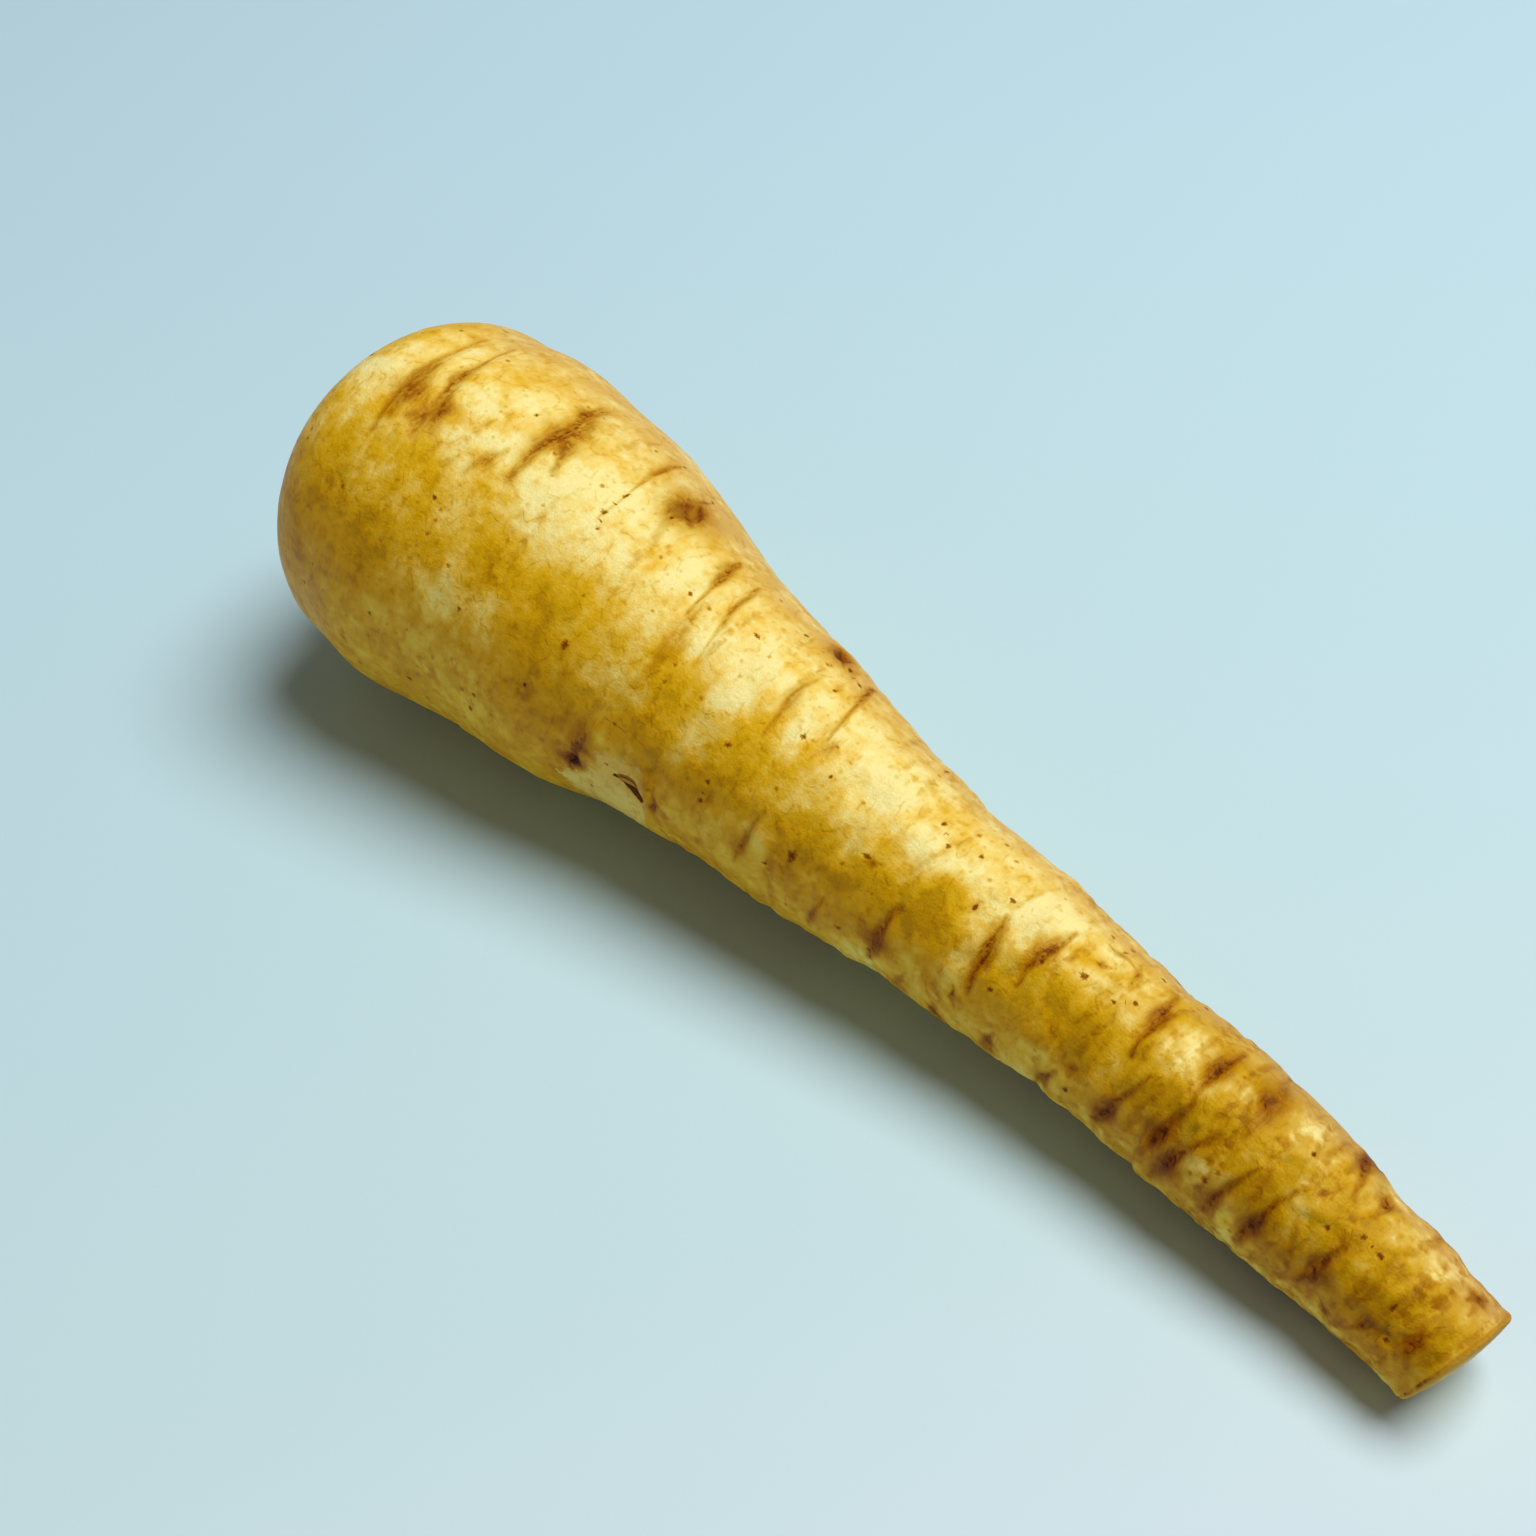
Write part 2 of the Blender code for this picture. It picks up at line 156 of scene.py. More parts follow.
# Brown marks across the skin: width, strength of the brown, strength of the dark middle, where
# along it the mark is widest, from 0 to 1, and the points that it runs through
STREAKS = (
    (2.4, 0.75, 0.2, 0.4, ((4.2, 32), (2.8, 23), (2, 14), (1.5, 5), (1.6, -6), (1, -18))),
    (5.6, 0.95, 0.3, 0.45, ((4.8, 25), (4, 18), (3.2, 11), (2.4, 3))),
    (3.4, 0.9, 0.6, 0.5, ((4.2, 19), (3.4, 14), (2.6, 9))),
    (1.8, 0.75, 0.4, 0.65, ((5.8, -21), (6.2, -11), (6.8, 0), (8.2, 11), (9.4, 17))),
    (4.6, 0.8, 0.35, 0.6, ((7.8, 5), (9.6, 12), (11.4, 18), (12.8, 22))),
    (5, 0.75, 0.3, 0.5, ((7.2, 15), (9.2, 20), (10.6, 26))),
    (3, 0.9, 0.7, 0.5, ((23.6, -26), (24.4, -18), (25.2, -9))),
    (5.6, 0.9, 0.7, 0.55, ((27.8, 19), (26, 4), (26.8, -8), (24.4, -26))),
    (4.2, 0.7, 0.5, 0.5, ((31.5, 8), (28.4, -4), (26.2, -13))),
    (3, 0.5, 0.3, 0.5, ((21.4, 26), (24, 12))),
    (1.3, 0.6, 0.15, 0.75, ((42.4, 10), (41.6, -4), (39.6, -18), (38.2, -36))),
    (1.9, 0.8, 0.6, 0.25, ((58.7, -27), (59.8, -16), (61, -4), (62.8, 12))),
    (1.3, 0.6, 0.3, 0.3, ((63.8, -26), (65.4, -12), (67, 4), (69.1, 24))),
    (2, 0.5, 0.1, 0.5, ((82.6, -16), (83, 6), (84.6, 28))),
    (1.7, 0.8, 0.5, 0.12, ((87, -41), (88.4, -26), (89.8, -12), (91.4, 8))),
    (3.6, 0.95, 2, 0.6, ((60.4, 76), (59.8, 82), (59.2, 87))),
    (4.6, 0.95, 2.2, 0.5, ((59.4, 86), (58.8, 92), (58.2, 99))),
    (3.4, 0.5, 0, 0.3, ((58.9, 82), (59.5, 73), (60.4, 60))),
    (1.3, 0.8, 0.9, 0.6, ((73.6, 80), (74.4, 88), (74, 97))),
    (1.3, 0.8, 0.9, 0.7, ((45.5, -25), (46.3, -24), (48, -20), (50.5, -17))),
    (1.2, 0.8, 0.7, 0.5, ((50.6, -18), (49.8, -23), (47.6, -28), (45.7, -29))),
    (1.1, 0.6, 0.7, 0.5, ((46.6, -28), (46.5, -33), (46.2, -38))),
    (1, 0.6, 0.6, 0.5, ((46.5, -14), (48.4, -11))),
    (4, 0.35, 0, 0.3, ((46.6, -20), (48.4, -10), (50.4, 0))),
    (2.6, 0.8, 1.4, 0.4, ((79, -41), (82.1, -32))),
    (0.7, 0.5, 1, 0.5, ((80, -21), (81.1, -23), (81.9, -27))),
    (0.6, 0.4, 0.9, 0.5, ((81.3, -19), (81.7, -13))),
    (1.8, 0.6, 0.4, 0.6, ((91.8, 54), (90.4, 74), (89.7, 92))),
    (3.4, 0.9, 0.9, 0.6, ((116, 52), (115.4, 76), (114.3, 100))),
    (2, 0.7, 0.6, 0.6, ((105.3, 76), (103.7, 106))),
    (2.6, 0.8, 0.7, 0.5, ((126.8, 102), (125.8, 117))),
    (1.8, 0.8, 0.8, 0.5, ((128.4, 73), (129.4, 88))),
    (2.4, 0.8, 0.8, 0.6, ((136.8, 88), (135.6, 106))),
    (2.8, 0.9, 0.9, 0.5, ((128.9, 18), (129.8, 44), (130.8, 72))),
    (2.8, 0.8, 0.8, 0.45, ((137.3, -4), (136.3, 22), (136, 48))),
    (2.7, 0.9, 0.75, 0.4, ((153.4, -22), (153.8, 4), (154.8, 36))),
    (3, 0.9, 0.8, 0.45, ((165.2, -24), (164.4, 2), (164.8, 30))),
    (2.6, 0.95, 1, 0.25, ((155.4, 92), (156.6, 72), (158.4, 38))),
    (3.2, 0.95, 0.8, 0.4, ((163.2, 84), (164.2, 60), (165.4, 32))),
    (3.2, 0.95, 0.9, 0.45, ((165.6, 104), (167.4, 70), (170.4, 36))),
    (2.2, 0.9, 0.8, 0.4, ((147.2, 80), (145, 102), (143.6, 122))),
    (2.4, 0.9, 0.5, 0.25, ((174, 90), (175.2, 66), (177.2, 34))),
    (2.4, 0.95, 1, 0.35, ((180, 92), (181.1, 66), (182.6, 30))),
    (1.1, 0.9, 1, 0.5, ((171.1, -7), (172.2, -2), (173.6, 6))),
    (3.8, 0.65, 0.2, 0.45, ((171.6, -36), (172.6, -12), (173.2, 10), (173.4, 28))),
    (4.2, 0.9, 0.8, 0.45, ((189.4, 84), (190.8, 60), (191.6, 34))),
    (2.8, 0.85, 0.7, 0.3, ((185.8, -46), (186.8, -22), (188.8, 4))),
    (2.4, 0.8, 0.6, 0.4, ((191.2, -32), (191.8, -14), (191.8, 2))),
    (2.6, 0.85, 0.5, 0.5, ((205, -10), (206.4, -32))),
    (2.8, 0.8, 0.8, 0.4, ((204.6, 34), (205.6, 50), (207, 68))),
    (1.1, 0.7, 0.7, 0.5, ((184.3, 25), (186.6, 10))),
    (2, 0.8, 0.8, 0.5, ((198.2, 86), (200, 64), (203.2, 58))),
    (1.5, 0.7, 0.6, 0.5, ((193.6, 82), (196.4, 94))),
    (1.3, 0.5, 0.3, 0.5, ((147.2, 72), (150.8, 64))),
    (1.2, 0.7, 0.5, 0.5, ((141, -14), (143.2, -16), (146.2, -15))),
    (1.1, 0.7, 0.5, 0.5, ((141.2, 4), (143.2, 1), (144.8, -4))),
    (1.1, 0.6, 0.5, 0.5, ((148.2, -2), (147.4, -10), (146.2, -22))),
    (1.2, 0.6, 0.4, 0.5, ((107.8, 45), (110.8, 39))),
    (1.3, 0.6, 0.5, 0.5, ((119, 114), (120.8, 90))),
    (2.6, 0.3, 0, 0.5, ((63.2, 0), (64, 20), (64.6, 42))),
    (1.8, 0.4, 0.1, 0.5, ((92, 22), (93.4, 2))),
)

# Fine folds: depth, negative for a raised one, width and the points that it runs through
FOLDS = (
    (0.3, 0.8, ((176.2, 30), (178, 24), (180.2, 18))),
    (0.26, 0.9, ((176.3, 32), (176.6, 56), (175, 80))),
    (-0.28, 0.9, ((182.9, 38), (185.7, 33), (189.4, 22))),
    (0.24, 0.9, ((184.2, 41), (187.4, 35), (191, 24))),
    (-0.22, 0.8, ((178, 18), (181, 6), (181.2, -6))),
    (0.22, 0.9, ((183, 36), (182.2, 64), (180.6, 86))),
    (-0.22, 0.8, ((170.4, 30), (172.8, 20), (173.6, 8))),
    (0.24, 0.9, ((189.2, 20), (190.4, 2), (189, -14))),
)

# Small dark specks: along, angle and radius in millimetres
SPECKS = (
    (51.7, 49, 0.75), (41.6, -4, 0.6), (42, 6, 0.65), (38.4, -38, 0.4), (43.6, 12, 0.35),
    (20.8, 37, 0.45), (-1.4, -30, 0.5), (21.3, -3, 0.4), (40.5, 86, 0.5), (39.6, 94, 0.55),
    (18.8, 80, 0.4), (48.8, 70, 0.45), (71.7, -4, 0.5), (74.8, -27, 0.5), (81.2, 41, 0.55),
    (81.6, 60, 0.5), (81.8, 70, 0.5), (112.6, -1, 0.5), (115.6, 8, 0.4), (104.9, -37, 0.5),
    (98.4, 65, 0.9), (95, 79, 0.4), (88.9, 16, 0.5), (108.1, 41, 0.5), (127.7, 7, 0.5),
    (109.1, 88, 0.5), (119.9, -1, 0.4), (156.5, -41, 0.5), (181.2, 2, 0.45), (172.6, 66, 0.6),
    (200.6, 40, 0.45), (203, 64, 0.5), (188.6, 33, 0.45), (192.5, 19, 0.45), (195.4, 20, 0.45),
    (148, 16, 0.4), (150.2, 7, 0.45), (142.7, 16, 0.6), (149.8, -28, 0.4), (136.9, 26, 0.45),
    (149.8, 85, 0.5), (86, -32, 0.5), (83.1, -34, 0.5), (85.7, -14, 0.4), (60.2, 4, 0.4),
    (34, 60, 0.4), (3, 88, 0.5), (26, 100, 0.5), (96.2, 22, 0.4), (124.6, 26, 0.45),
    (133.4, 60, 0.45), (-9.4, 12, 0.6), (48.2, -12, 0.35), (45.9, -39, 0.45), (61.6, 105, 0.35),
    (64.8, 84, 0.35),
)
SPECK_SIZE = 0.74
SPECK_ZONE = 2.4
FAR_AWAY = 9.0

# Paler and more golden patches: along, angle, reach along, reach round in millimetres, and how
# golden the patch is, from 1 to -1 for pale. The pale ones at 133 and 159.5 along are painted
# highlights
PATCHES_AND_PAINTED_HIGHLIGHTS = (
    (-4, 22, 4, 14, -0.7), (-4, -18, 6, 12, 0.7), (18, 12, 7, 8, -0.8), (36, 14, 6, 8, -1.25),
    (36, -4, 4, 6, -0.6), (44, -7, 4, 5, -0.7), (44, 12, 3.5, 7, -0.8), (60, 7, 6, 6, -0.7),
    (9, 43, 8, 8, 0.3), (9.6, 21, 4, 5, 0.5), (12, 62, 9, 9, 0.6), (32, 38, 5, 5, 0.8),
    (46, 42, 8, 7, 0.75), (47, 65, 7, 8, 0.6), (55, 71, 7, 6, 0.8), (67, 35, 6, 4, 0.8),
    (30, 56, 3, 9, -0.9), (25, 79, 8, 7, -0.5), (33, 85, 6, 5, -0.6), (39, 95, 6, 4, -0.7),
    (39, 56, 3, 3.5, -0.8), (57, 40, 2.5, 4, -0.2), (55, 38, 4, 5, 0.6), (65, 43, 3, 4, -0.7),
    (-2, 60, 6, 14, 0.8), (0, 84, 6, 6, 0.7), (-3, 40, 6, 7, 0.4), (75, 12, 4, 8, -1),
    (77, -8, 4, 4, -0.7), (67, 12, 4, 6, -0.7), (88, 4, 3.5, 8, -0.7), (87.7, 26, 2.2, 5, -1),
    (101, 0, 5, 5, -0.7), (105.5, 9, 5, 5, -0.9), (114, 17, 6, 4, -0.9), (121, 14, 5, 4, -0.7),
    (95, -8, 5, 4, -0.6), (93, 85, 2.6, 5, -1), (202, -28, 5, 4, -0.8), (200, -8, 4, 3, -0.5),
    (86, 85, 4, 4, -0.6), (77, 50, 3, 5, -0.8), (80, 88, 3.5, 3, -0.9), (76, 110, 3, 4, -0.7),
    (167, 67, 4, 3.5, -0.9), (173.5, 78, 3, 3, -0.8), (186, -3, 5, 4, -0.7), (178, 44, 3, 3, 0.8),
    (63.6, 26, 3, 4, 0.7), (69.4, 51, 4, 8, 0.7), (79, 41, 4, 5, 0.7), (85, 37, 4, 6, 0.8),
    (85, 61, 5, 5, 0.8), (90, 35, 3, 5, 0.8), (79, 63, 5, 5, 0.6), (97.5, 58, 5, 6, 0.7),
    (109, 62, 4, 5, 0.7), (112, 41, 4, 5, 0.8), (117, 47, 4, 6, 0.8), (121.5, 45, 4, 6, 0.9),
    # On the next lines, the pale rows at 133 and 159.5 along are painted highlights
    (126.8, 54, 2.4, 8, -1.2), (133, 3, 5, 5, -1.5), (159, 62, 8, 9, 0.6), (147, 50, 7, 5, 0.4),
    (166, 56, 4, 5, 0.5), (178, 11, 6, 5, -0.5), (197, 11, 6, 5, -0.4), (159.5, 9, 3.5, 6, -1.5),
    (158.7, 29, 2.5, 3, -0.7), (170, -1, 3, 3, -0.9), (144, 84, 4, 3, -0.8),
    (159.6, 63, 3, 3, -0.8), (172, 52, 3, 3, -0.7), (177.6, 79, 3, 3, -0.8), (144, 22, 4, 3, -0.6),
    (150, -7, 3, 4, -0.6), (179, -4, 3, 4, -0.6), (190, -13, 6, 3, -0.6), (143, 51, 5, 5, 0.9),
    (145, 33, 3, 4, 0.7), (160, 43, 3, 5, 0.8), (171, 32, 4, 5, 0.8), (180, 58, 4, 4, 0.8),
    (197, 38, 8, 8, 0.8), (172, -19, 4, 3, 0.7),
)
PATCH_STRENGTH = 0.36

# The outline of the bare pale place on the lower side, the ridge beside it and its cut
BARE_OUTLINE = (
    (56.4, 102), (58.6, 97), (61.6, 91), (61.8, 84), (63.4, 78), (66.2, 75), (69.2, 75),
    (71.8, 79), (72.9, 92), (72.4, 108), (70.6, 121), (67.6, 132), (63.2, 136), (59.4, 128),
    (56.8, 114),
)
BARE_EDGE = 0.5
BARE_REACH = 4.0
BARE_DEPTH = 0.15
BARE_RIDGE_HEIGHT = 0.40
BARE_CUT_DEPTH = 0.60
BARE_MARK_REACH = 0.7
# Angles between which its pale colour fades towards the underside
BARE_FADE = (106, 136)
BARE_RIDGE = ((70.8, 74), (72.6, 82), (73.0, 92), (72.6, 104))
BARE_CUT = ((66.0, 88.5), (67.4, 90.5), (70.2, 90), (71.9, 92))
# How far around the cut its own coordinates are kept, in half lengths
CUT_ZONE = 3.0

# Smooth tan places: along, angle, reach along, reach round in millimetres, and strength
TANNED = (
    (206, -30, 6, 5, 0.9), (199, -50, 5, 5, 0.5), (48, -34, 6, 6, 0.5), (82, -40, 6, 4, 0.6),
    (4, -20, 8, 8, 0.3), (181, -30, 6, 4, 0.3), (140, -38, 8, 5, 0.3),
)

# The seeded marks that fill the sides without named ones, and the fine lines all over. Their
# spreads: first place and span along, its power, angles, most half length, lean and bend, and
# shares of the lean and of the half length at the points in between
MARK_SEED = 23
HIDDEN_ANGLES = (132.0, 296.0)
HIDDEN_STREAKS = 60
HIDDEN_PATCHES = 60
STREAK_SPREAD = (0.03, 0.94, 0.7, HIDDEN_ANGLES, 9.0, 1.2, 0.8, ((0, 0),))
FINE_LINES = 260
LINE_SPREAD = (0, 1, 0.8, (0, 360), 11.0, 2.2, 1.2, ((-0.3, -0.35), (0.3, 0.35)))

NOISE_CELLS = 61
NOISE_SEED = 5
# Keeps every coordinate of the noise above zero
NOISE_SHIFT = 100.0

# Where the tail begins and is full, in millimetres along
TAIL = (128, 172)
# How much of the underside's painted shade reaches the back
BACK_PAINTED_SHADE = 0.45


def hermite(points, at):
    """A smooth curve through the points, with slopes taken from their neighbours."""
    x, y = np.array(points, float).T
    slope = np.gradient(y, x)
    cell = np.clip(np.searchsorted(x, at, side="right") - 1, 0, len(x) - 2)
    width = x[cell + 1] - x[cell]
    u = (at - x[cell]) / width
    rise = (1 + 2 * u) * (1 - u) ** 2 * y[cell] + u**2 * (3 - 2 * u) * y[cell + 1]
    lean = u * (1 - u) ** 2 * slope[cell] - u**2 * (1 - u) * slope[cell + 1]
    return rise + width * lean


def smoothstep(low, high, value):
    """0 at low, 1 at high and smooth between, also where low is the larger."""
    u = np.clip((value - low) / (high - low), 0.0, 1.0)
    return u * u * (3 - 2 * u)


def band(start, full, fall, end, value):
    """1 from full to fall, 0 outside start and end, and smooth between."""
    return smoothstep(start, full, value) * (1 - smoothstep(fall, end, value))


def turn_between(angle, facing):
    """The signed angle from one direction round the root to another."""
    return (angle - facing + math.pi) % (2 * math.pi) - math.pi


class Skin:
    """The grid's points by place along, angle in radians and radius, with seeded noise."""

    def __init__(self, along, angle, radius):
        self.along, self.angle, self.radius = along, angle, radius
        self.turned = np.degrees(turn_between(angle, 0.0))
        self.on_crown = along < -SHOULDER_DEPTH / 2
        self.far = np.full(len(along), FAR_AWAY)
        self.space = np.stack([along, radius * np.sin(angle), radius * np.cos(angle)], axis=1)
        self.space += NOISE_SHIFT
        self.table = np.random.default_rng(NOISE_SEED).uniform(-1, 1, (NOISE_CELLS,) * 3)

    def lattice(self, points):
        """Smooth noise between -1 and 1."""
        cell = np.floor(points).astype(int)
        part = points - cell
        part = part * part * (3 - 2 * part)
        total = np.zeros(len(points))
        for corner in np.ndindex(2, 2, 2):
            at = (cell + corner) % NOISE_CELLS
            total += np.where(corner, part, 1 - part).prod(axis=1) * self.table[tuple(at.T)]
        return total

    def layers(self, points, count):
        """Noise in layers, each twice as fine and half as strong as the last."""
        total = np.zeros(len(points))
        for layer in range(count):
            total += 0.5**layer * self.lattice(points * 2.0**layer + 17.3 * layer)
        return total / (2 - 0.5 ** (count - 1))

    def noise(self, scale, shift=0.0, count=2):
        return self.layers(self.space * scale + shift, count)

    def step(self, low, high):
        return smoothstep(low, high, self.along)

    def across(self, facing):
        """Millimetres round the root from an angle in degrees."""
        return self.radius * turn_between(self.angle, math.radians(facing))


def end_depth(radius):
    """How far behind the widest plane the crown's end lies at this radius."""
    share = np.clip(radius / BODY_RADII[0][1], 0.0, 1.0)
    dome = SHOULDER_DEPTH * (1 - share**SHOULDER_POWER) ** (1 / SHOULDER_POWER)
    hollow = HOLLOW_DEPTH * np.exp(-(((radius - HOLLOW_RADIUS) / HOLLOW_WIDTH) ** 2))
    plug = PLUG_HEIGHT * (1 - smoothstep(PLUG_RADIUS - PLUG_WALL, PLUG_RADIUS + PLUG_WALL, radius))
    return dome - hollow + plug


def meridian():
    """Evenly spaced rows of (along, radius) from the crown's plug to the middle of the cut."""
    turn = np.linspace(0, math.pi / 2, PROFILE_STEPS)
    crown_radii = BODY_RADII[0][1] * np.sin(turn) ** (2 / SHOULDER_POWER)
    crown = np.stack([-end_depth(crown_radii), crown_radii], axis=1)
    shares = np.linspace(0, 1 - TIP_RIM_RADIUS / BODY_LENGTH, PROFILE_STEPS)[1:]
    body = np.stack([shares * BODY_LENGTH, hermite(BODY_RADII, shares)], axis=1)
    turn = np.linspace(0, math.pi / 2, END_STEPS)[1:]
    rim_along = body[-1, 0] + TIP_RIM_RADIUS * np.sin(turn)
    rim = np.stack([rim_along, body[-1, 1] - TIP_RIM_RADIUS * (1 - np.cos(turn))], axis=1)
    share = np.linspace(1, 0, END_STEPS)[1:]
    face_along = rim[-1, 0] + TIP_FACE_BULGE * (1 - share**2)
    face = np.stack([face_along, rim[-1, 1] * share], axis=1)
    profile = np.concatenate([crown, body, rim, face])
    length = np.r_[0, np.cumsum(np.hypot(*np.diff(profile, axis=0).T))]
    even = np.linspace(0, length[-1], RINGS)
    return np.stack([np.interp(even, length, profile[:, i]) for i in (0, 1)], axis=1)


def swellings(skin):
    height = 0.0
    for centre, facing, reach_along, reach_round, rise in SWELLINGS:
        turn = turn_between(skin.angle, math.radians(facing)) / math.radians(reach_round)
        offset = (skin.along - centre) / reach_along
        height += rise * np.exp(-(offset**2) - turn**2)
    return height


def creases(skin):
    height = 0.0
    for start, start_angle, end, end_angle, width, depth in CREASES:
        half = math.radians(abs(end_angle - start_angle) / 2)
        turn = turn_between(skin.angle, math.radians((start_angle + end_angle) / 2))
        lean = (end - start) / math.radians(end_angle - start_angle)
        offset = (skin.along - (start + end) / 2 - lean * turn) / (width * CREASE_SHARPNESS)
        fade = np.exp(-((turn / half) ** 4))
        height += depth * fade * (0.7 * np.exp(-((offset - 1.5) ** 2)) - np.exp(-(offset**2)))
    return height


def ridges(skin, seed, count, first, span, power, reaches, widths, factor, lean, rises, groove):
    """Seeded wrinkles across the body, each a groove beside a swelling."""
    rng = np.random.default_rng(seed)
    height = 0.0
    for _ in range(count):
        centre = BODY_LENGTH * (first + span * rng.uniform() ** power)
        across = skin.radius * turn_between(skin.angle, rng.uniform(-math.pi, math.pi))
        reach = rng.uniform(*reaches)
        width = rng.uniform(*widths) * factor
        offset = (skin.along - centre - rng.uniform(-lean, lean) * across) / width
        rise = rng.uniform(*rises) if rises else 1.0
        fade = rise * np.exp(-((across / reach) ** 4))
        height += fade * (np.exp(-((offset - 1.2) ** 2)) - groove * np.exp(-(offset**2)))
    return height


def scar_field(skin):
    """Relief of the scars, and the nearest to each point: distance in its radii, and its brown."""
    height, nearest, brown = 0.0, skin.far, 0.0
    for centre, facing, reach, rise, eye, stain in SCARS:
        away = np.hypot(skin.along - centre, skin.across(facing) * SCAR_ROUNDNESS) / reach
        height += rise * np.exp(-(away**2))
        height -= (rise + eye) * np.exp(-((away / SCAR_EYE_SHARE) ** 2))
        closer = away < nearest
        nearest = np.where(closer, away, nearest)
        brown = np.where(closer, stain, brown)
    return height, nearest, brown


def leaf_bases(skin):
    """Height of the broken leaf stalks above the plug."""
    height = 0.0
    for ring, count, rise, turn in LEAF_RINGS:
        bend = 0.6 * np.sin(2 * skin.angle + turn)
        crescent = 0.5 + 0.5 * np.cos(count * skin.angle + turn + bend)
        height += rise * crescent * np.exp(-(((skin.radius - ring) / LEAF_WIDTH) ** 2))
    return height * skin.on_crown


def plug_wobble(skin):
    wave = 0.6 * np.sin(2 * skin.angle + 0.6) + 0.4 * np.sin(5 * skin.angle + 2.0)
    fade = 1 - smoothstep(PLUG_RADIUS, PLUG_BLEND, skin.radius)
    return PLUG_WOBBLE * wave * fade * skin.on_crown


def body_radius(along):
    return hermite(BODY_RADII, np.clip(along / BODY_LENGTH, 0, 1))


def unrolled(skin, points, along):
    """The skin's points and the given ones laid out flat, in millimetres."""
    places, turns = np.array(points, float).T
    facing = math.radians(turns.mean())
    flat = np.stack([places, body_radius(places) * (np.radians(turns) - facing)], axis=1)
    across = skin.radius * turn_between(skin.angle, facing)
    return np.stack([along, across], axis=1), flat


def path_distance(skin, points, along=None):
    """Distance in millimetres to a path over the skin, and the place on it from 0 to 1."""
    here, flat = unrolled(skin, points, skin.along if along is None else along)
    steps = np.hypot(*np.diff(flat, axis=0).T)
    travelled = np.r_[0, np.cumsum(steps)]
    nearest, place = np.inf, 0.0
    for start, end, step, before in zip(flat, flat[1:], steps, travelled):
        direction = (end - start) / step
        gone = np.clip((here - start) @ direction, 0, step)
        away = np.hypot(*(here - start - gone[:, None] * direction).T)
        closer = away < nearest
        nearest = np.where(closer, away, nearest)
        place = np.where(closer, (before + gone) / travelled[-1], place)
    return nearest, place


def seeded_path(rng, first, span, power, angles, longest, most_lean, most_bend, between):
    """A seeded mark across the skin."""
    centre = BODY_LENGTH * (first + span * rng.uniform() ** power)
    facing = rng.uniform(*angles)
    half = math.degrees(rng.uniform(3.0, longest) / body_radius(centre))
    lean = rng.uniform(-most_lean, most_lean)
    bend = rng.uniform(-most_bend, most_bend)
    middle = [(centre + k * lean + bend, facing + share * half) for k, share in between]
    return [(centre - lean, facing - half), *middle, (centre + lean, facing + half)]


def seeded_streaks():
    """Streaks for the back and the underside, closer together towards the tip."""
    rng = np.random.default_rng(MARK_SEED)
    made = []
    for _ in range(HIDDEN_STREAKS):
        path = seeded_path(rng, *STREAK_SPREAD)
        strength = rng.uniform(0.5, 0.95)
        core = strength * rng.uniform(0.2, 1.0)
        made.append((rng.uniform(1.4, 3.6), strength, core, rng.uniform(0.2, 0.8), path))
    return made


def streak_field(skin):
    """For each point the nearest streak: distance in its half widths, brown and dark strength."""
    nearest, brown, dark = skin.far, 0.0, 0.0
    ragged = skin.noise((0.7, 0.4, 0.4))
    shifted = skin.along + 0.5 * skin.noise(0.35, 51.1)
    for width, stain, core, widest, points in [*STREAKS, *seeded_streaks()]:
        away, place = path_distance(skin, points, shifted)
        off = (place - widest) / (0.10 + 0.22 * max(widest, 1 - widest))
        taper = 0.32 + 0.68 * np.exp(-(off**2))
        reached = away / (0.5 * width * taper * (1 + 0.35 * ragged))
        closer = reached < nearest
        nearest = np.where(closer, reached, nearest)
        brown = np.where(closer, stain * (0.35 + 0.65 * taper), brown)
        dark = np.where(closer, core * taper, dark)
    return nearest, brown, dark


def speck_field(skin):
    """For each point the offset to the nearest speck, in its radii, and whether it is near."""
    x, y, near, nearest = skin.far, skin.far, 0.0, SPECK_ZONE
    for centre, facing, reach in SPECKS:
        gone, across = skin.along - centre, skin.across(facing)
        away = np.hypot(gone, across)
        inside = away < nearest
        nearest = np.where(inside, away, nearest)
        x = np.where(inside, gone / (reach * SPECK_SIZE), x)
        y = np.where(inside, across / (reach * SPECK_SIZE), y)
        near = np.where(inside, 1.0, near)
    return x, y, near


def line_field(skin):
    """Distance to the nearest of the fine lines that cross the skin, in millimetres."""
    rng = np.random.default_rng(MARK_SEED + 1)
    nearest = skin.far
    for _ in range(FINE_LINES):
        away, place = path_distance(skin, seeded_path(rng, *LINE_SPREAD))
        nearest = np.minimum(nearest, away + 0.9 * (2 * place - 1) ** 4)
    return nearest


def painted_shade_underside(skin):
    """1 on the underside and the front below, where shade is painted, which begins higher at the
    crown, 0 on the top.
    """
    turned = skin.turned + 22 * (1 - skin.step(-15, -3)) * (skin.turned > 0)
    return smoothstep(35, 85, turned) + BACK_PAINTED_SHADE * smoothstep(-70, -125, turned)


def painted_shade_upper_edge(skin):
    """1 on the top edge that faces the back, which the tan colour darkens as painted shade."""
    return band(-6, -42, -62, -104, skin.turned)


def painted_bounce_rim(skin):
    """1 along the low edge of the tail that faces the front, made paler as painted light bounced
    from the floor.
    """
    return band(82, 104, 125, 150, skin.turned) * skin.step(92, 116)


def patches(along, angle, radius, rows):
    """The sum of soft round places, each as strong as its last number."""
    total = 0.0
    for centre, facing, reach_along, reach_round, amount in rows:
        across = radius * turn_between(angle, math.radians(facing)) / reach_round
        offset = (along - centre) / reach_along
        total += amount * np.exp(-((offset**2 + across**2) ** 1.5))
    return total


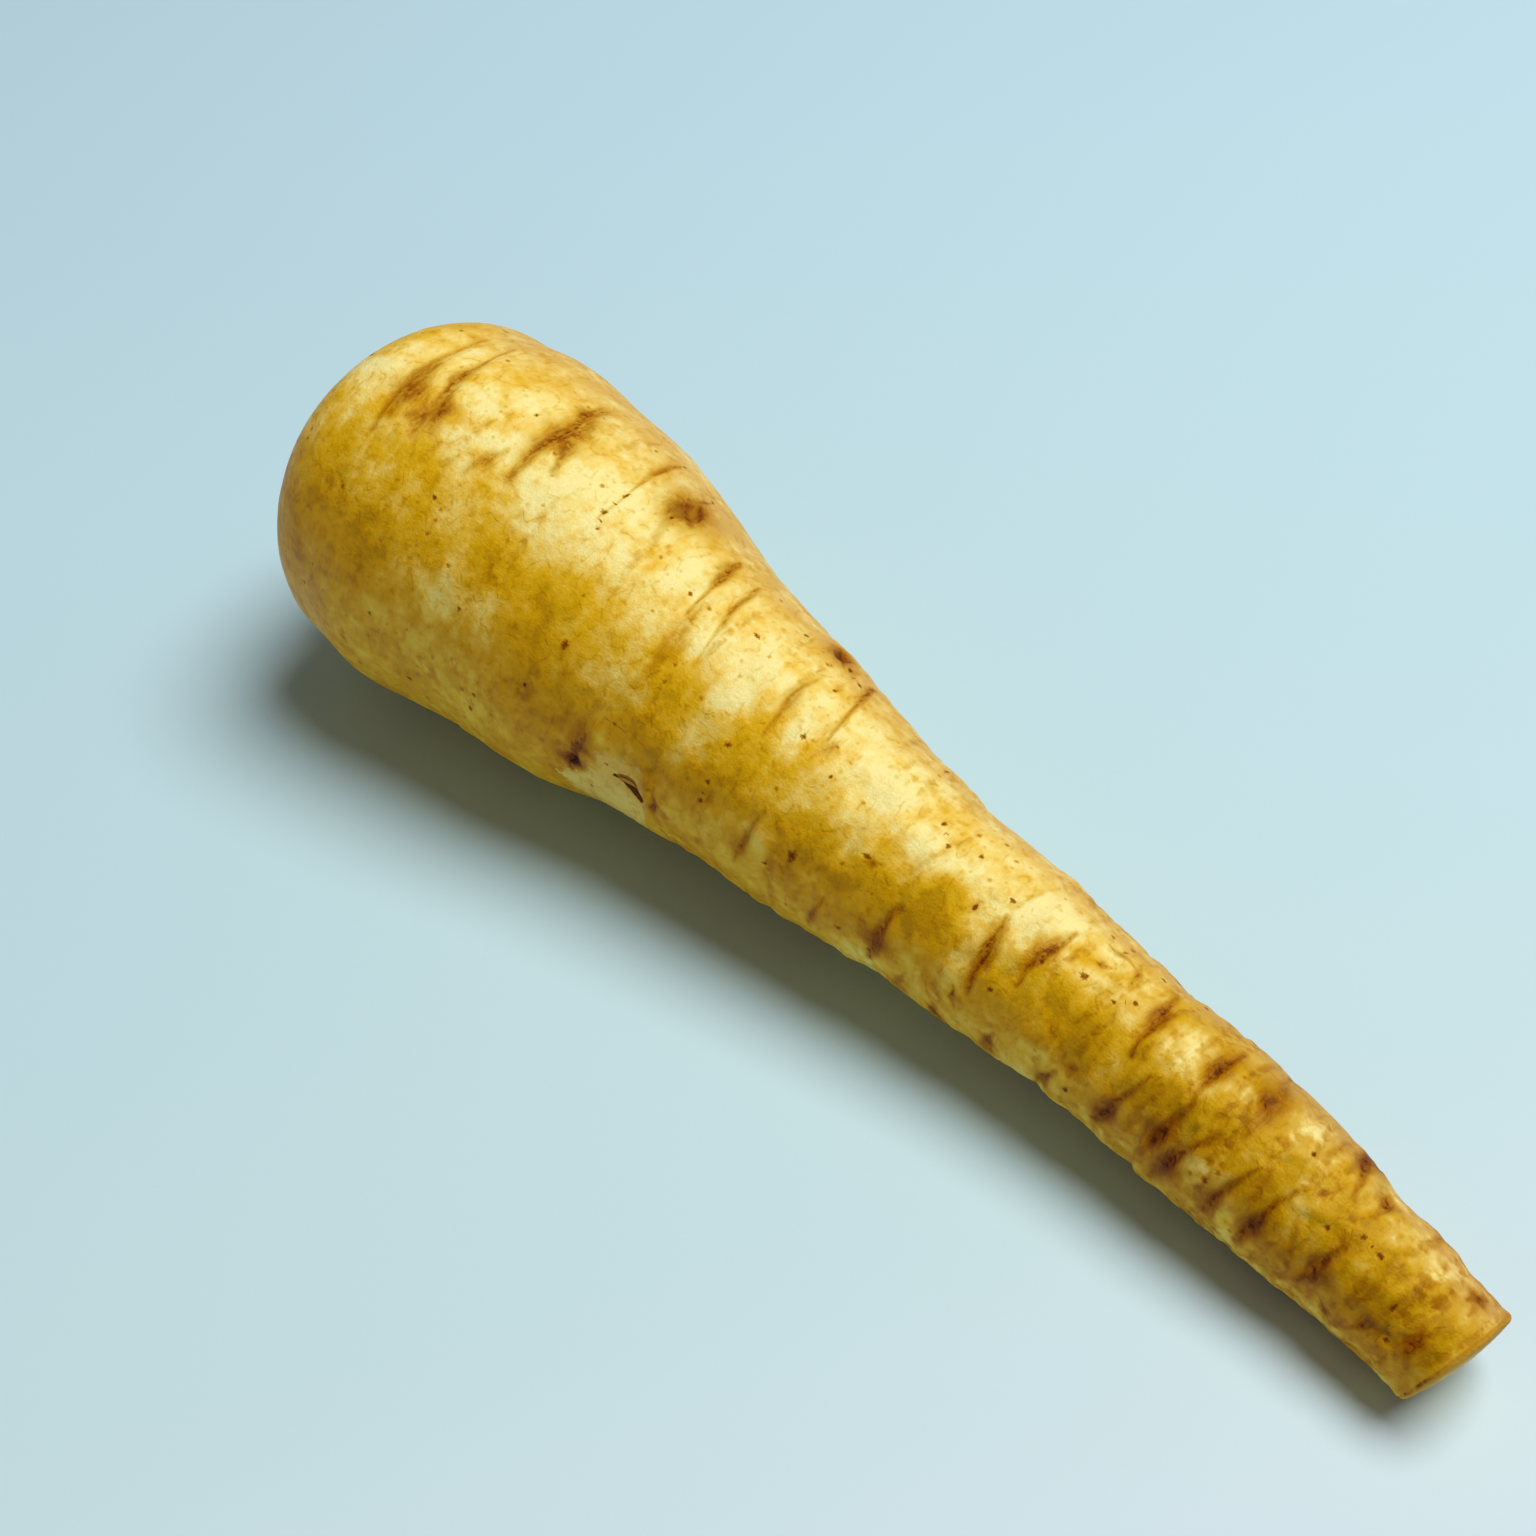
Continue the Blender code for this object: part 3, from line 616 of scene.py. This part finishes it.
def bare_field(skin):
    """How far inside the bare pale place a point lies, in millimetres, negative outside."""
    here, corners = unrolled(skin, BARE_OUTLINE, skin.along)
    inside = np.zeros(len(here), bool)
    for (x0, y0), (x1, y1) in zip(corners, np.roll(corners, -1, axis=0)):
        level = (here[:, 1] > y0) != (here[:, 1] > y1)
        crossing = x0 + (here[:, 1] - y0) * (x1 - x0) / (y1 - y0 + 1e-9)
        inside ^= level & (here[:, 0] < crossing)
    away = path_distance(skin, (*BARE_OUTLINE, BARE_OUTLINE[0]))[0]
    return np.clip(np.where(inside, away, -away), -BARE_REACH, BARE_REACH)


def cut_field(skin):
    """Place along the cut of the bare place and offset below it, in half lengths, and nearness."""
    (start, start_angle), (end, end_angle) = BARE_CUT[0], BARE_CUT[-1]
    middle = (start + end) / 2
    half_along = (end - start) / 2
    half_round = body_radius(middle) * math.radians(end_angle - start_angle) / 2
    length = half_along**2 + half_round**2
    gone, across = skin.along - middle, skin.across((start_angle + end_angle) / 2)
    place = (gone * half_along + across * half_round) / length
    below = (across * half_along - gone * half_round) / length
    near = (np.abs(place) < CUT_ZONE) & (np.abs(below) < CUT_ZONE)
    return np.where(near, [place, below, near], [[FAR_AWAY], [FAR_AWAY], [0.0]])


def bare_relief(skin, inside):
    """The bare place lies a little deeper, with a cut in it and a ridge beside it."""
    ridge, cut = (path_distance(skin, path)[0] for path in (BARE_RIDGE, BARE_CUT))
    height = -BARE_DEPTH * smoothstep(-BARE_EDGE, BARE_EDGE, inside)
    height += BARE_RIDGE_HEIGHT * np.exp(-((ridge / BARE_MARK_REACH) ** 2))
    height -= BARE_CUT_DEPTH * np.exp(-((cut / BARE_MARK_REACH) ** 2))
    return height


def golden_field(skin):
    """How golden the skin is, from about 0 for pale to 1."""
    rng = np.random.default_rng(MARK_SEED + 2)
    rows = list(PATCHES_AND_PAINTED_HIGHLIGHTS)
    for _ in range(HIDDEN_PATCHES):
        centre, facing = rng.uniform(0, BODY_LENGTH), rng.uniform(*HIDDEN_ANGLES)
        reach = rng.uniform(2.5, 8.0)
        rows.append((centre, facing, reach, reach * rng.uniform(0.7, 1.4), rng.uniform(-1, 1)))
    # Painted shade: the skin is more golden on the front below and on the underside
    painted_shade_side = smoothstep(6, 52, skin.turned) * (1 - 0.6 * smoothstep(130, 178, skin.turned))
    hidden = 1 - smoothstep(-90, -25, skin.turned)
    tail = skin.step(*TAIL)
    golden = 0.27 + 0.33 * painted_shade_side + 0.14 * hidden + tail * (0.36 - 0.26 * painted_shade_side)
    # Painted bounce light: paler along the low front edge of the tail
    golden -= 0.30 * painted_bounce_rim(skin)
    golden += 0.16 * (1 - skin.step(-14, -2)) * (1 - painted_shade_side)
    neck = band(48, 66, 92, 104, skin.along)
    middle_tail = band(132, 148, 170, 184, skin.along)
    crown = 1 - skin.step(8, 26)
    golden += (0.09 * crown + 0.08 * neck + 0.11 * middle_tail) * (1 - painted_shade_side)
    warped = skin.along + 2.5 * skin.noise(0.22)
    twisted = skin.angle + 2.5 / skin.radius.clip(8) * skin.noise(0.22, 9.1)
    # The patches, with painted highlights among them
    golden += PATCH_STRENGTH * patches(warped, twisted, skin.radius, rows)
    golden += (0.30 + 0.14 * tail) * skin.noise(0.17, 31.7)
    golden += (0.16 + 0.12 * tail) * skin.noise(0.42, 71.3)
    return golden


def folds(skin):
    height = 0.0
    for depth, width, points in FOLDS:
        away, place = path_distance(skin, points)
        height -= depth * np.exp(-((away / width) ** 2)) * (1 - (2 * place - 1) ** 4)
    return height


def skin_relief(skin, lines, streaks, scar_height, bare):
    """Height of the skin above the spun body."""
    height = swellings(skin) + creases(skin) + RIDGE_HEIGHT * ridges(skin, *RIDGES)
    even = 1 - TAIL_EVENED * painted_shade_upper_edge(skin) * skin.step(90, 130)
    height += scar_height + even * (SMALL_RIDGE_HEIGHT * ridges(skin, *SMALL_RIDGES))
    height += bare_relief(skin, bare) + folds(skin)
    tail = skin.step(20, 130)
    wrinkles, lumps, grooves = (a + b * tail for a, b in (WRINKLES, LUMPS, LINE_GROOVES))
    height += even * wrinkles * skin.noise((0.34, 0.13, 0.13), 3.3, 3)
    height += even * lumps * skin.noise(0.21, 12.9)
    height -= grooves * np.exp(-((lines / LINE_REACH) ** 2))
    height -= STREAK_GROOVE * streaks[1] * np.exp(-((streaks[0] / STREAK_REACH) ** 2))
    ends = (-SHOULDER_DEPTH, -SHOULDER_DEPTH * CROWN_FADE, BODY_LENGTH - CUT_FADE, BODY_LENGTH)
    return band(*ends, skin.along) * height


def skin_points(skin, height, leaf):
    """Points of the finished surface in metres, lying at rest."""
    along, angle, radius = skin.along, skin.angle, skin.radius
    on_plug = skin.on_crown * (1 - smoothstep(PLUG_RADIUS, PLUG_RADIUS + 2, radius))
    cork = skin.layers(np.stack([radius * 0.9, angle * 5.0, along * 0.5], axis=1), 3)
    leaf = leaf * (1 + 0.25 * cork) + 0.35 * on_plug * cork
    reach = (radius + height) * (1 + plug_wobble(skin))
    back = -reach * np.sin(angle)
    up = reach * np.cos(angle)
    lean = skin.step(BODY_LENGTH - CUT_LEAN_REACH, BODY_LENGTH)
    shifted = along - leaf + lean * (CUT_LEAN_BACK * back + CUT_LEAN_UP * up)
    back = back + hermite(BODY_BOW, np.clip(shifted / BODY_LENGTH, 0.0, 1.0))
    cosine, sine = math.cos(REST_PITCH), math.sin(REST_PITCH)
    x = shifted * cosine + up * sine - REST_MIDDLE[0]
    z = up * cosine - shifted * sine + REST_LIFT
    laid = np.stack([x, back - REST_MIDDLE[1], z], axis=1)
    return np.clip(laid * MM, *np.array(CAD_BOX))


def grid_faces():
    """Faces of the spun grid: a fan at each end and rows of quads between."""
    ring = np.arange(SEGMENTS)
    following = np.roll(ring, -1)
    last = 1 + (RINGS - 2) * SEGMENTS
    tail = last - SEGMENTS
    faces = []
    for start in range(1, tail, SEGMENTS):
        after = start + SEGMENTS
        quads = np.stack([start + ring, start + following, after + following, after + ring], 1)
        faces.extend(quads.tolist())
    faces.extend([0, 1 + b, 1 + a] for a, b in zip(ring.tolist(), following.tolist()))
    faces.extend([last, tail + a, tail + b] for a, b in zip(ring.tolist(), following.tolist()))
    return faces


def spun_grid():
    """Rings of points from the crown to the cut, with one point at each end."""
    rows = meridian()
    turns = 2 * math.pi * np.arange(SEGMENTS) / SEGMENTS
    along = np.r_[rows[0, 0], np.repeat(rows[1:-1, 0], SEGMENTS), rows[-1, 0]]
    radius = np.r_[0.0, np.repeat(rows[1:-1, 1], SEGMENTS), 0.0]
    angle = np.r_[0.0, np.tile(turns, len(rows) - 2), 0.0]
    return Skin(along, angle, radius)


def add_object(name, data, place=Matrix()):
    made = bpy.data.objects.new(name, data)
    made.matrix_world = place
    bpy.context.scene.collection.objects.link(made)
    return made


def make_root():
    skin = spun_grid()
    lines, streaks = line_field(skin), streak_field(skin)
    bare, leaf = bare_field(skin), leaf_bases(skin)
    scar_height, *scars = scar_field(skin)
    height = skin_relief(skin, lines, streaks, scar_height, bare)
    tan = patches(skin.along, skin.angle, skin.radius, TANNED)
    # Painted shade on the underside and the front below, less of it along the rim with painted
    # bounce light
    painted_shade_side = painted_shade_underside(skin) * (1 - 0.3 * painted_bounce_rim(skin))
    plug = skin.on_crown * (1 - smoothstep(PLUG_RADIUS + 0.6, PLUG_RADIUS + 2.2, skin.radius))
    hollow = skin.on_crown * (1 - smoothstep(HOLLOW_RADIUS, HOLLOW_RADIUS + 4.5, skin.radius))
    cut = skin.step(*(BODY_LENGTH - rim for rim in CUT_RIM))
    # The numbers that the material reads, three to a name
    numbers = {
        "skin_at": skin.space.T,
        # tone: how golden, the painted shade below, and the painted shade of the top edge with the
        # tan places
        "tone": (golden_field(skin), painted_shade_side, painted_shade_upper_edge(skin) + tan),
        "streak": streaks,
        "speck": speck_field(skin),
        "scar_and_line": (*scars, lines),
        "bare": (bare, smoothstep(*BARE_FADE, skin.turned), 0.0),
        "slit": cut_field(skin),
        "crown": (plug, leaf, hollow),
        "tip": (cut, skin.radius, 0.0),
    }
    mesh = bpy.data.meshes.new(PIECE_NAME)
    mesh.from_pydata(skin_points(skin, height, leaf).tolist(), [], grid_faces())
    mesh.shade_smooth()
    for name, values in numbers.items():
        columns = np.stack(np.broadcast_arrays(*values), axis=1).astype(np.float32)
        made = mesh.attributes.new(name, "FLOAT_VECTOR", "POINT")
        made.data.foreach_set("vector", columns.ravel())
    return add_object(PIECE_NAME, mesh)


class Value:
    """An output in a shader graph; each sign used on it adds one node."""

    def __init__(self, graph, socket):
        self.graph, self.socket = graph, socket

    def __add__(self, other):
        return self.graph.math("ADD", self, other)

    def __sub__(self, other):
        return self.graph.math("SUBTRACT", self, other)

    def __rsub__(self, other):
        return self.graph.math("SUBTRACT", other, self)

    def __mul__(self, other):
        return self.graph.math("MULTIPLY", self, other)

    def __abs__(self):
        return self.graph.math("ABSOLUTE", self)

    __radd__ = __add__

    def step(self, low, high, kind="SMOOTHSTEP"):
        """0 where the value is at low or beyond, 1 at high or beyond, and smooth between."""
        ends = (low, high, 0.0, 1.0) if low < high else (high, low, 1.0, 0.0)
        return self.graph.node("MapRange", (self, *ends), interpolation_type=kind)


class Graph:
    """Short ways to add shader nodes to a material and join them."""

    def __init__(self, name):
        self.material = bpy.data.materials.new(name)
        self.material.use_nodes = True
        self.tree = self.material.node_tree

    def fill(self, sockets, values):
        """Links or sets the sockets, by number from the first or by name."""
        for name, value in values.items() if isinstance(values, dict) else enumerate(values):
            if isinstance(value, Value):
                self.tree.links.new(value.socket, sockets[name])
            else:
                sockets[name].default_value = value

    def node(self, kind, values, *outputs, **settings):
        """Adds a node and gives the outputs asked for, or else its first one."""
        made = self.tree.nodes.new("ShaderNode" + kind)
        for name, setting in settings.items():
            setattr(made, name, setting)
        self.fill(made.inputs, values)
        found = [Value(self, made.outputs[name]) for name in outputs or (0,)]
        return found if len(found) > 1 else found[0]

    def math(self, operation, first, second=0.0, clamp=False):
        return self.node("Math", (first, second), operation=operation, use_clamp=clamp)

    def scaled(self, vector, by):
        return self.node("VectorMath", (vector, by), operation="MULTIPLY")

    def split(self, vector):
        return self.node("SeparateXYZ", (vector,), 0, 1, 2)

    def read(self, name):
        return self.node("Attribute", (), "Vector", attribute_name=name)

    def noise(self, vector, scale, detail=2.0, roughness=0.5, distortion=0.0):
        values = {"Vector": vector, "Scale": scale, "Detail": detail}
        return self.node("TexNoise", {**values, "Roughness": roughness, "Distortion": distortion})

    def cells(self, vector, scale):
        """Distance to the middle of the nearest cell, and that cell's random number."""
        values = {"Vector": vector, "Scale": scale}
        away, colour = self.node("TexVoronoi", values, "Distance", "Color")
        return away, self.split(colour)[0]

    def mix(self, share, first, second):
        """Mixes colours: sockets 6 and 7 of the node take them, and output 2 gives the result."""
        return self.node("Mix", {0: share, 6: first, 7: second}, 2, data_type="RGBA")

    def tint(self, share, colour, by):
        return self.mix(share, colour, self.scaled(colour, by))

    def stained(self, colour, depth):
        """The colour under so many layers of the brown pigment."""
        left = [self.math("POWER", share, depth) for share in PIGMENT]
        return self.scaled(colour, self.node("CombineXYZ", left))

    def ramp(self, value, stops):
        made = self.node("ValToRGB", (value,))
        held = made.socket.node.color_ramp.elements
        while len(held) < len(stops):
            held.new(0.5)
        for element, (place, colour) in zip(held, stops):
            element.position, element.color = place, (*colour, 1.0)
        return made

    def dress(self, values):
        self.fill(self.tree.nodes["Principled BSDF"].inputs, values)
        return self.material


# Colours of the skin from the palest to the most golden, and how golden each one is
SKIN_COLOURS = (
    (0.0, (0.97, 0.87, 0.37)), (0.2, (0.94, 0.75, 0.22)), (0.4, (0.88, 0.61, 0.10)),
    (0.6, (0.79, 0.49, 0.020)), (0.8, (0.73, 0.425, 0.004)), (1.0, (0.58, 0.32, 0.003)),
)
SKIN_SPAN = (-0.05, 1.10)
# Painted shade: the tint of the underside and the front below
PAINTED_SHADE_TINT = (0.98, 0.77, 0.17)
TAIL_TINT = (0.82, 0.79, 0.72)
# Painted shade on the top edge, and the colour of the tan places
TAN_AND_SHADE_COLOUR = (0.70, 0.43, 0.10, 1.0)
BARE = (0.98, 0.68, 0.17, 1.0)
# What is left of red, green and blue under one layer of brown pigment
PIGMENT = (0.577, 0.387, 0.09)
CORK_PALE = (0.60, 0.37, 0.12, 1.0)
CORK_DARK = (0.20, 0.090, 0.020, 1.0)
CORK_GOLD = (0.56, 0.32, 0.05, 1.0)
FLESH = (0.84, 0.56, 0.10, 1.0)
FLESH_RING = (0.66, 0.40, 0.05, 1.0)
# Radius of the faint ring in the flesh of the cut, in millimetres
FLESH_RING_RADIUS = 3.9
# How strongly the skin's small relief is shaded, with its height in metres
SKIN_BUMP = {"Distance": 0.00030, "Strength": 0.9}


def root_material():
    g = Graph(PIECE_NAME)
    at = g.read("skin_at")
    place = g.split(at)[0] - NOISE_SHIFT
    golden, painted_shade_side, upper_shade_and_tan = g.split(g.read("tone"))
    streak_away, streak_brown, streak_dark = g.split(g.read("streak"))
    speck_x, speck_y, speck_near = g.split(g.read("speck"))
    scar_away, scar_brown, line_away = g.split(g.read("scar_and_line"))
    bare_inside, faded, _ = g.split(g.read("bare"))
    slit_along, slit_below, slit_near = g.split(g.read("slit"))
    plug, leaf, hollow = g.split(g.read("crown"))
    cut, cut_radius, _ = g.split(g.read("tip"))

    coarse = g.noise(at, 0.24) - 0.5
    middle = g.noise(at, 0.60) - 0.5
    small = g.noise(at, 1.4) - 0.5
    grain = g.noise(at, 2.8, 3.0, 0.6) - 0.5
    crossing = g.scaled(at, (1.0, 0.26, 0.26))
    across = g.noise(crossing, 0.8, 3.0) - 0.5
    thread = g.noise(crossing, 1.4) - 0.5

    # Cream and gold patches with soft edges; painted shade makes the underside and the front below
    # more golden and gives the top edge the tan colour, besides the tan places
    tail = place.step(*TAIL)
    mottled = coarse * 1.25 + middle * 0.8 + across * 0.45
    mottled = mottled * (0.78 + painted_shade_side * 0.22 + tail * 0.2)
    share = golden + mottled + small * 0.18 + grain * 0.05
    share = share.step(*SKIN_SPAN, "LINEAR")
    # Painted shade tints the underside and the front below
    colour = g.tint(painted_shade_side, g.ramp(share, SKIN_COLOURS), PAINTED_SHADE_TINT)
    # The top edge takes the tan colour as painted shade; the places of TANNED add their tan too
    tan_and_painted_shade = (middle * 0.4 + coarse * 0.9).step(-0.26, 0.14)
    tan_and_painted_shade = upper_shade_and_tan * (0.42 + tan_and_painted_shade * 0.46)
    colour = g.mix(tan_and_painted_shade, colour, TAN_AND_SHADE_COLOUR)
    ragged = middle * 3.4 + small * 1.6 + coarse * 4.0
    border = abs(slit_below).step(2.4, 1.4) * slit_near * slit_along.step(0.3, 1.1)
    ragged = (ragged - 0.4) * (1.0 - border) * 1.3
    bare = (bare_inside + ragged).step(-0.4, 0.9)
    bare = g.math("MULTIPLY", bare, 0.72 + coarse + slit_below * 0.12, clamp=True)
    colour = g.mix(bare * (1.0 - faded * 0.85), colour, BARE)
    colour = g.tint(tail * share.step(-0.05, 0.45), colour, TAIL_TINT)

    # The cut of the bare place: a dark line, a thinner one above it and brown flesh between
    bulge = g.math("SUBTRACT", 1.0, slit_along * slit_along, clamp=True)
    lid = slit_below + bulge * 0.72 + middle * 0.15
    within = abs(slit_along).step(1.1, 0.9)
    lid_line = abs(lid).step(0.17, 0.04) * within
    slit = abs(slit_below + bulge * 0.06) + small * 0.1 - slit_along.step(-1.0, 0.7) * 0.16
    slit = slit.step(0.14, 0.0) * within
    between = slit_below.step(0.05, -0.05) * lid.step(-0.05, 0.1) * within
    opened = (between * 0.9 + lid_line * 1.6 + slit * 3.2) * slit_near

    # Thin golden veins that wind through the skin, and fine lines across it
    vein = g.noise(g.scaled(at, (1.0, 0.6, 0.6)), 0.30, 1.0, 0.4, 0.25) - 0.5
    vein = abs(vein).step(0.050, 0.0) * middle.step(-0.10, 0.14)
    line = (line_away + middle * 0.5).step(1.1, 0.1) * middle.step(-0.14, 0.10)
    dash = thread.step(0.05, 0.22) * (small + middle).step(0.02, 0.20)
    depth = vein * 0.22 + line * (0.28 + tail * 0.22) + dash * 0.16 + opened

    # Brown streaks made of threads and spots, with a soft edge
    reach = streak_away + grain * 0.4 + small * 0.9 + middle * 1.3
    threads = (thread + small * 0.5).step(-0.10, 0.10)
    halo = reach.step(2.5, 0.3) * streak_brown
    stain = reach.step(1.6, 0.1) * streak_brown * (0.48 + threads * 0.52)
    spots = (small + middle * 0.9).step(-0.02, 0.12)
    core = reach.step(0.95, 0.0) * streak_dark * (0.15 + spots * 0.85)
    depth = depth + halo * 0.5 + stain * 1.2 + core * 2.6

    # Scars of side roots: a soft edge, a brown middle and dark broken rings
    reach = scar_away + middle * 0.7 + small * 0.4
    halo = reach.step(1.6, 0.3) * scar_brown
    heart = reach.step(0.95, 0.3) * scar_brown
    ring = abs(reach - 0.42).step(0.12, 0.02) * scar_brown * middle.step(-0.05, 0.08)
    depth = depth + halo * 0.7 + heart * 0.8 + ring * 0.6

    # Specks, the named ones and scattered smaller ones, more of them on the neck
    longer = middle * 2.4
    speck_x = speck_x * (1.0 + longer)
    speck_y = speck_y * (1.0 - longer)
    speck_away = g.math("SQRT", speck_x * speck_x + speck_y * speck_y)
    speck_away = speck_away + grain * 1.6 + small * 1.4
    spot = speck_away.step(1.6, 0.0) * speck_near.step(0.9, 1.0)
    neck = place.step(50, 60) * place.step(108, 92)
    bit_away, bit_chance = g.cells(at, 0.34)
    bit_chance = bit_chance + neck * 0.12
    bits = (bit_away + small * 0.2).step(0.19, 0.03) * bit_chance.step(0.62, 0.86)
    dust_away, dust_chance = g.cells(at, 0.62)
    dust = (dust_away + small * 0.2).step(0.28, 0.06) * dust_chance.step(0.40, 0.60)
    depth = depth + dust * 0.28 + bits + spot * 2.3 + hollow * 0.8
    colour = g.stained(colour, depth)

    # Corky plug of the crown, paler on the leaf bases, and flesh of the cut with a dried edge
    cork_grain = g.noise(at, 1.1, 5.0, 0.6)
    cork_share = (cork_grain - 0.5) * 1.6 + leaf * 0.34 + middle * 0.9
    cork = g.mix(cork_share.step(-0.25, 0.85), CORK_DARK, CORK_PALE)
    cork = g.mix(coarse.step(-0.02, 0.14) * 0.5, cork, CORK_GOLD)
    colour = g.mix(plug, colour, cork)
    flesh_ring = abs(cut_radius - FLESH_RING_RADIUS).step(0.5, 0.1)
    flesh = g.mix(flesh_ring * 0.8, FLESH, FLESH_RING)
    flesh = g.mix(grain.step(0.0, 0.25), flesh, FLESH_RING)
    rind = (cut_radius + middle * 3.0).step(5.8, 7.2)
    colour = g.mix(cut, colour, g.stained(flesh, rind * 0.5))
    edge = abs(cut - 0.5).step(0.5, 0.15) * (0.15 + middle.step(-0.08, 0.10) * painted_shade_side)
    colour = g.stained(colour, edge * 1.8)

    rough = 0.40 + middle * 0.16 + grain * 0.08 + tan_and_painted_shade * 0.14
    rough = rough + stain * 0.14 + plug * 0.3 + cut * 0.15
    relief = across + middle * 0.6 + grain * 0.2 + small * 0.4 - vein * 0.2 + thread * 0.4
    relief = relief - line * 0.3 - core * 0.3 - ring * 0.3 - spot * 0.3 - bits * 0.2
    relief = relief - opened * 0.5 + plug * cork_grain * 2.4
    return g.dress(
        {
            "Base Color": colour,
            "Roughness": rough,
            "Subsurface Weight": 0.12,
            "Subsurface Radius": (1.0, 0.5, 0.05),
            "Subsurface Scale": 0.0018,
            "Specular IOR Level": 0.15,
            "Specular Tint": (1.0, 0.82, 0.40, 1.0),
            "Normal": g.node("Bump", {"Height": relief, **SKIN_BUMP}),
        }
    )


# The floor, in metres, pales a little towards the camera as painted light: direction, reach and
# colours
FLOOR_HALF = 3.0
FLOOR_SLOPE = (0.962, -0.443)
FLOOR_SPAN = (-0.30, 0.14)
FLOOR_COLOURS_AND_PAINTED_LIGHT = (
    (0.05, (0.512, 0.750, 0.900)), (0.60, (0.540, 0.775, 0.888)),
    (0.81, (0.574, 0.792, 0.888)), (0.95, (0.648, 0.824, 0.930)),
)
FLOOR_CLOUD = (0.955, 0.975, 0.985)
FLOOR_BUMP = {"Distance": 0.0001, "Strength": 0.1}


def floor_material():
    g = Graph("pale_floor")
    where = g.node("TexCoord", (), "Object")
    cloud = g.noise(where, 3.0)
    x, y, _ = g.split(where)
    # Painted light: the floor grows paler towards the camera
    place = x * FLOOR_SLOPE[0] + y * FLOOR_SLOPE[1]
    colour = g.ramp(place.step(*FLOOR_SPAN, "LINEAR"), FLOOR_COLOURS_AND_PAINTED_LIGHT)
    return g.dress(
        {
            "Base Color": g.tint(cloud, colour, FLOOR_CLOUD),
            "Roughness": 0.7 + cloud * 0.1,
            "Specular IOR Level": 0.2,
            "Normal": g.node("Bump", {"Height": g.noise(where, 900.0), **FLOOR_BUMP}),
        }
    )


def make_floor():
    mesh = bpy.data.meshes.new("floor")
    far = FLOOR_HALF
    corners = [(-far, -far, 0), (far, -far, 0), (far, far, 0), (-far, far, 0)]
    mesh.from_pydata(corners, [], [(0, 1, 2, 3)])
    mesh.materials.append(floor_material())
    return add_object("floor", mesh)


# The camera looks down on the root from the front right
CAMERA_AZIMUTH = 45.969
CAMERA_ELEVATION = 45.0
CAMERA_TARGET = (-20.62, 5.76, 15.0)
CAMERA_DISTANCE = 344.1
CAMERA_LENS = 50.0
CAMERA_SENSOR = 36.0
CAMERA_CLIP = (0.01, 20.0)


def camera_axes():
    """The camera's directions to the right, up and backwards, in space."""
    azimuth, elevation = math.radians(CAMERA_AZIMUTH), math.radians(CAMERA_ELEVATION)
    level = math.cos(elevation)
    x, y = math.sin(azimuth) * level, -math.cos(azimuth) * level
    back = Vector((x, y, math.sin(elevation)))
    right = Vector((math.cos(azimuth), math.sin(azimuth), 0.0))
    return right, back.cross(right), back


def make_camera():
    right, up, back = camera_axes()
    data = bpy.data.cameras.new("camera")
    data.lens = CAMERA_LENS
    data.sensor_width = CAMERA_SENSOR
    data.clip_start, data.clip_end = CAMERA_CLIP
    turn = Matrix((right, up, back)).transposed().to_4x4()
    place = (Vector(CAMERA_TARGET) + back * CAMERA_DISTANCE) * MM
    camera = add_object("camera", data, Matrix.Translation(place) @ turn)
    bpy.context.scene.camera = camera


# Lights as seen from the camera: to the right, up and towards it; distance and size in metres
LIGHTS = (
    # name, right, up, back, distance, size, power, colour
    ("key", 0.33, 0.73, 0.60, 1.7, 1.1, 29.0, (1.0, 0.96, 0.90)),
    ("fill", -0.8, -0.1, 0.6, 1.6, 1.2, 1.6, (1.0, 0.80, 0.40)),
)
WORLD_COLOUR = (0.92, 0.80, 0.77, 1.0)
WORLD_STRENGTH = 0.13


def make_lights():
    right, up, back = camera_axes()
    for name, x, y, z, distance, size, power, colour in LIGHTS:
        data = bpy.data.lights.new(name, "AREA")
        data.shape = "DISK"
        data.size = size
        data.energy = power
        data.color = colour
        direction = (right * x + up * y + back * z).normalized()
        turn = direction.to_track_quat("Z", "Y").to_matrix().to_4x4()
        add_object(name, data, Matrix.Translation(direction * distance) @ turn)
    world = bpy.data.worlds.new("soft_surroundings")
    world.use_nodes = True
    surroundings = world.node_tree.nodes["Background"]
    surroundings.inputs["Color"].default_value = WORLD_COLOUR
    surroundings.inputs["Strength"].default_value = WORLD_STRENGTH
    bpy.context.scene.world = world


root = make_root()
root.data.materials.append(root_material())
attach(root, "root")
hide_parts("parsnip_root")

floor = make_floor()
make_camera()
make_lights()
bpy.context.scene.view_settings.view_transform = "Standard"
bpy.context.scene.view_settings.look = "None"
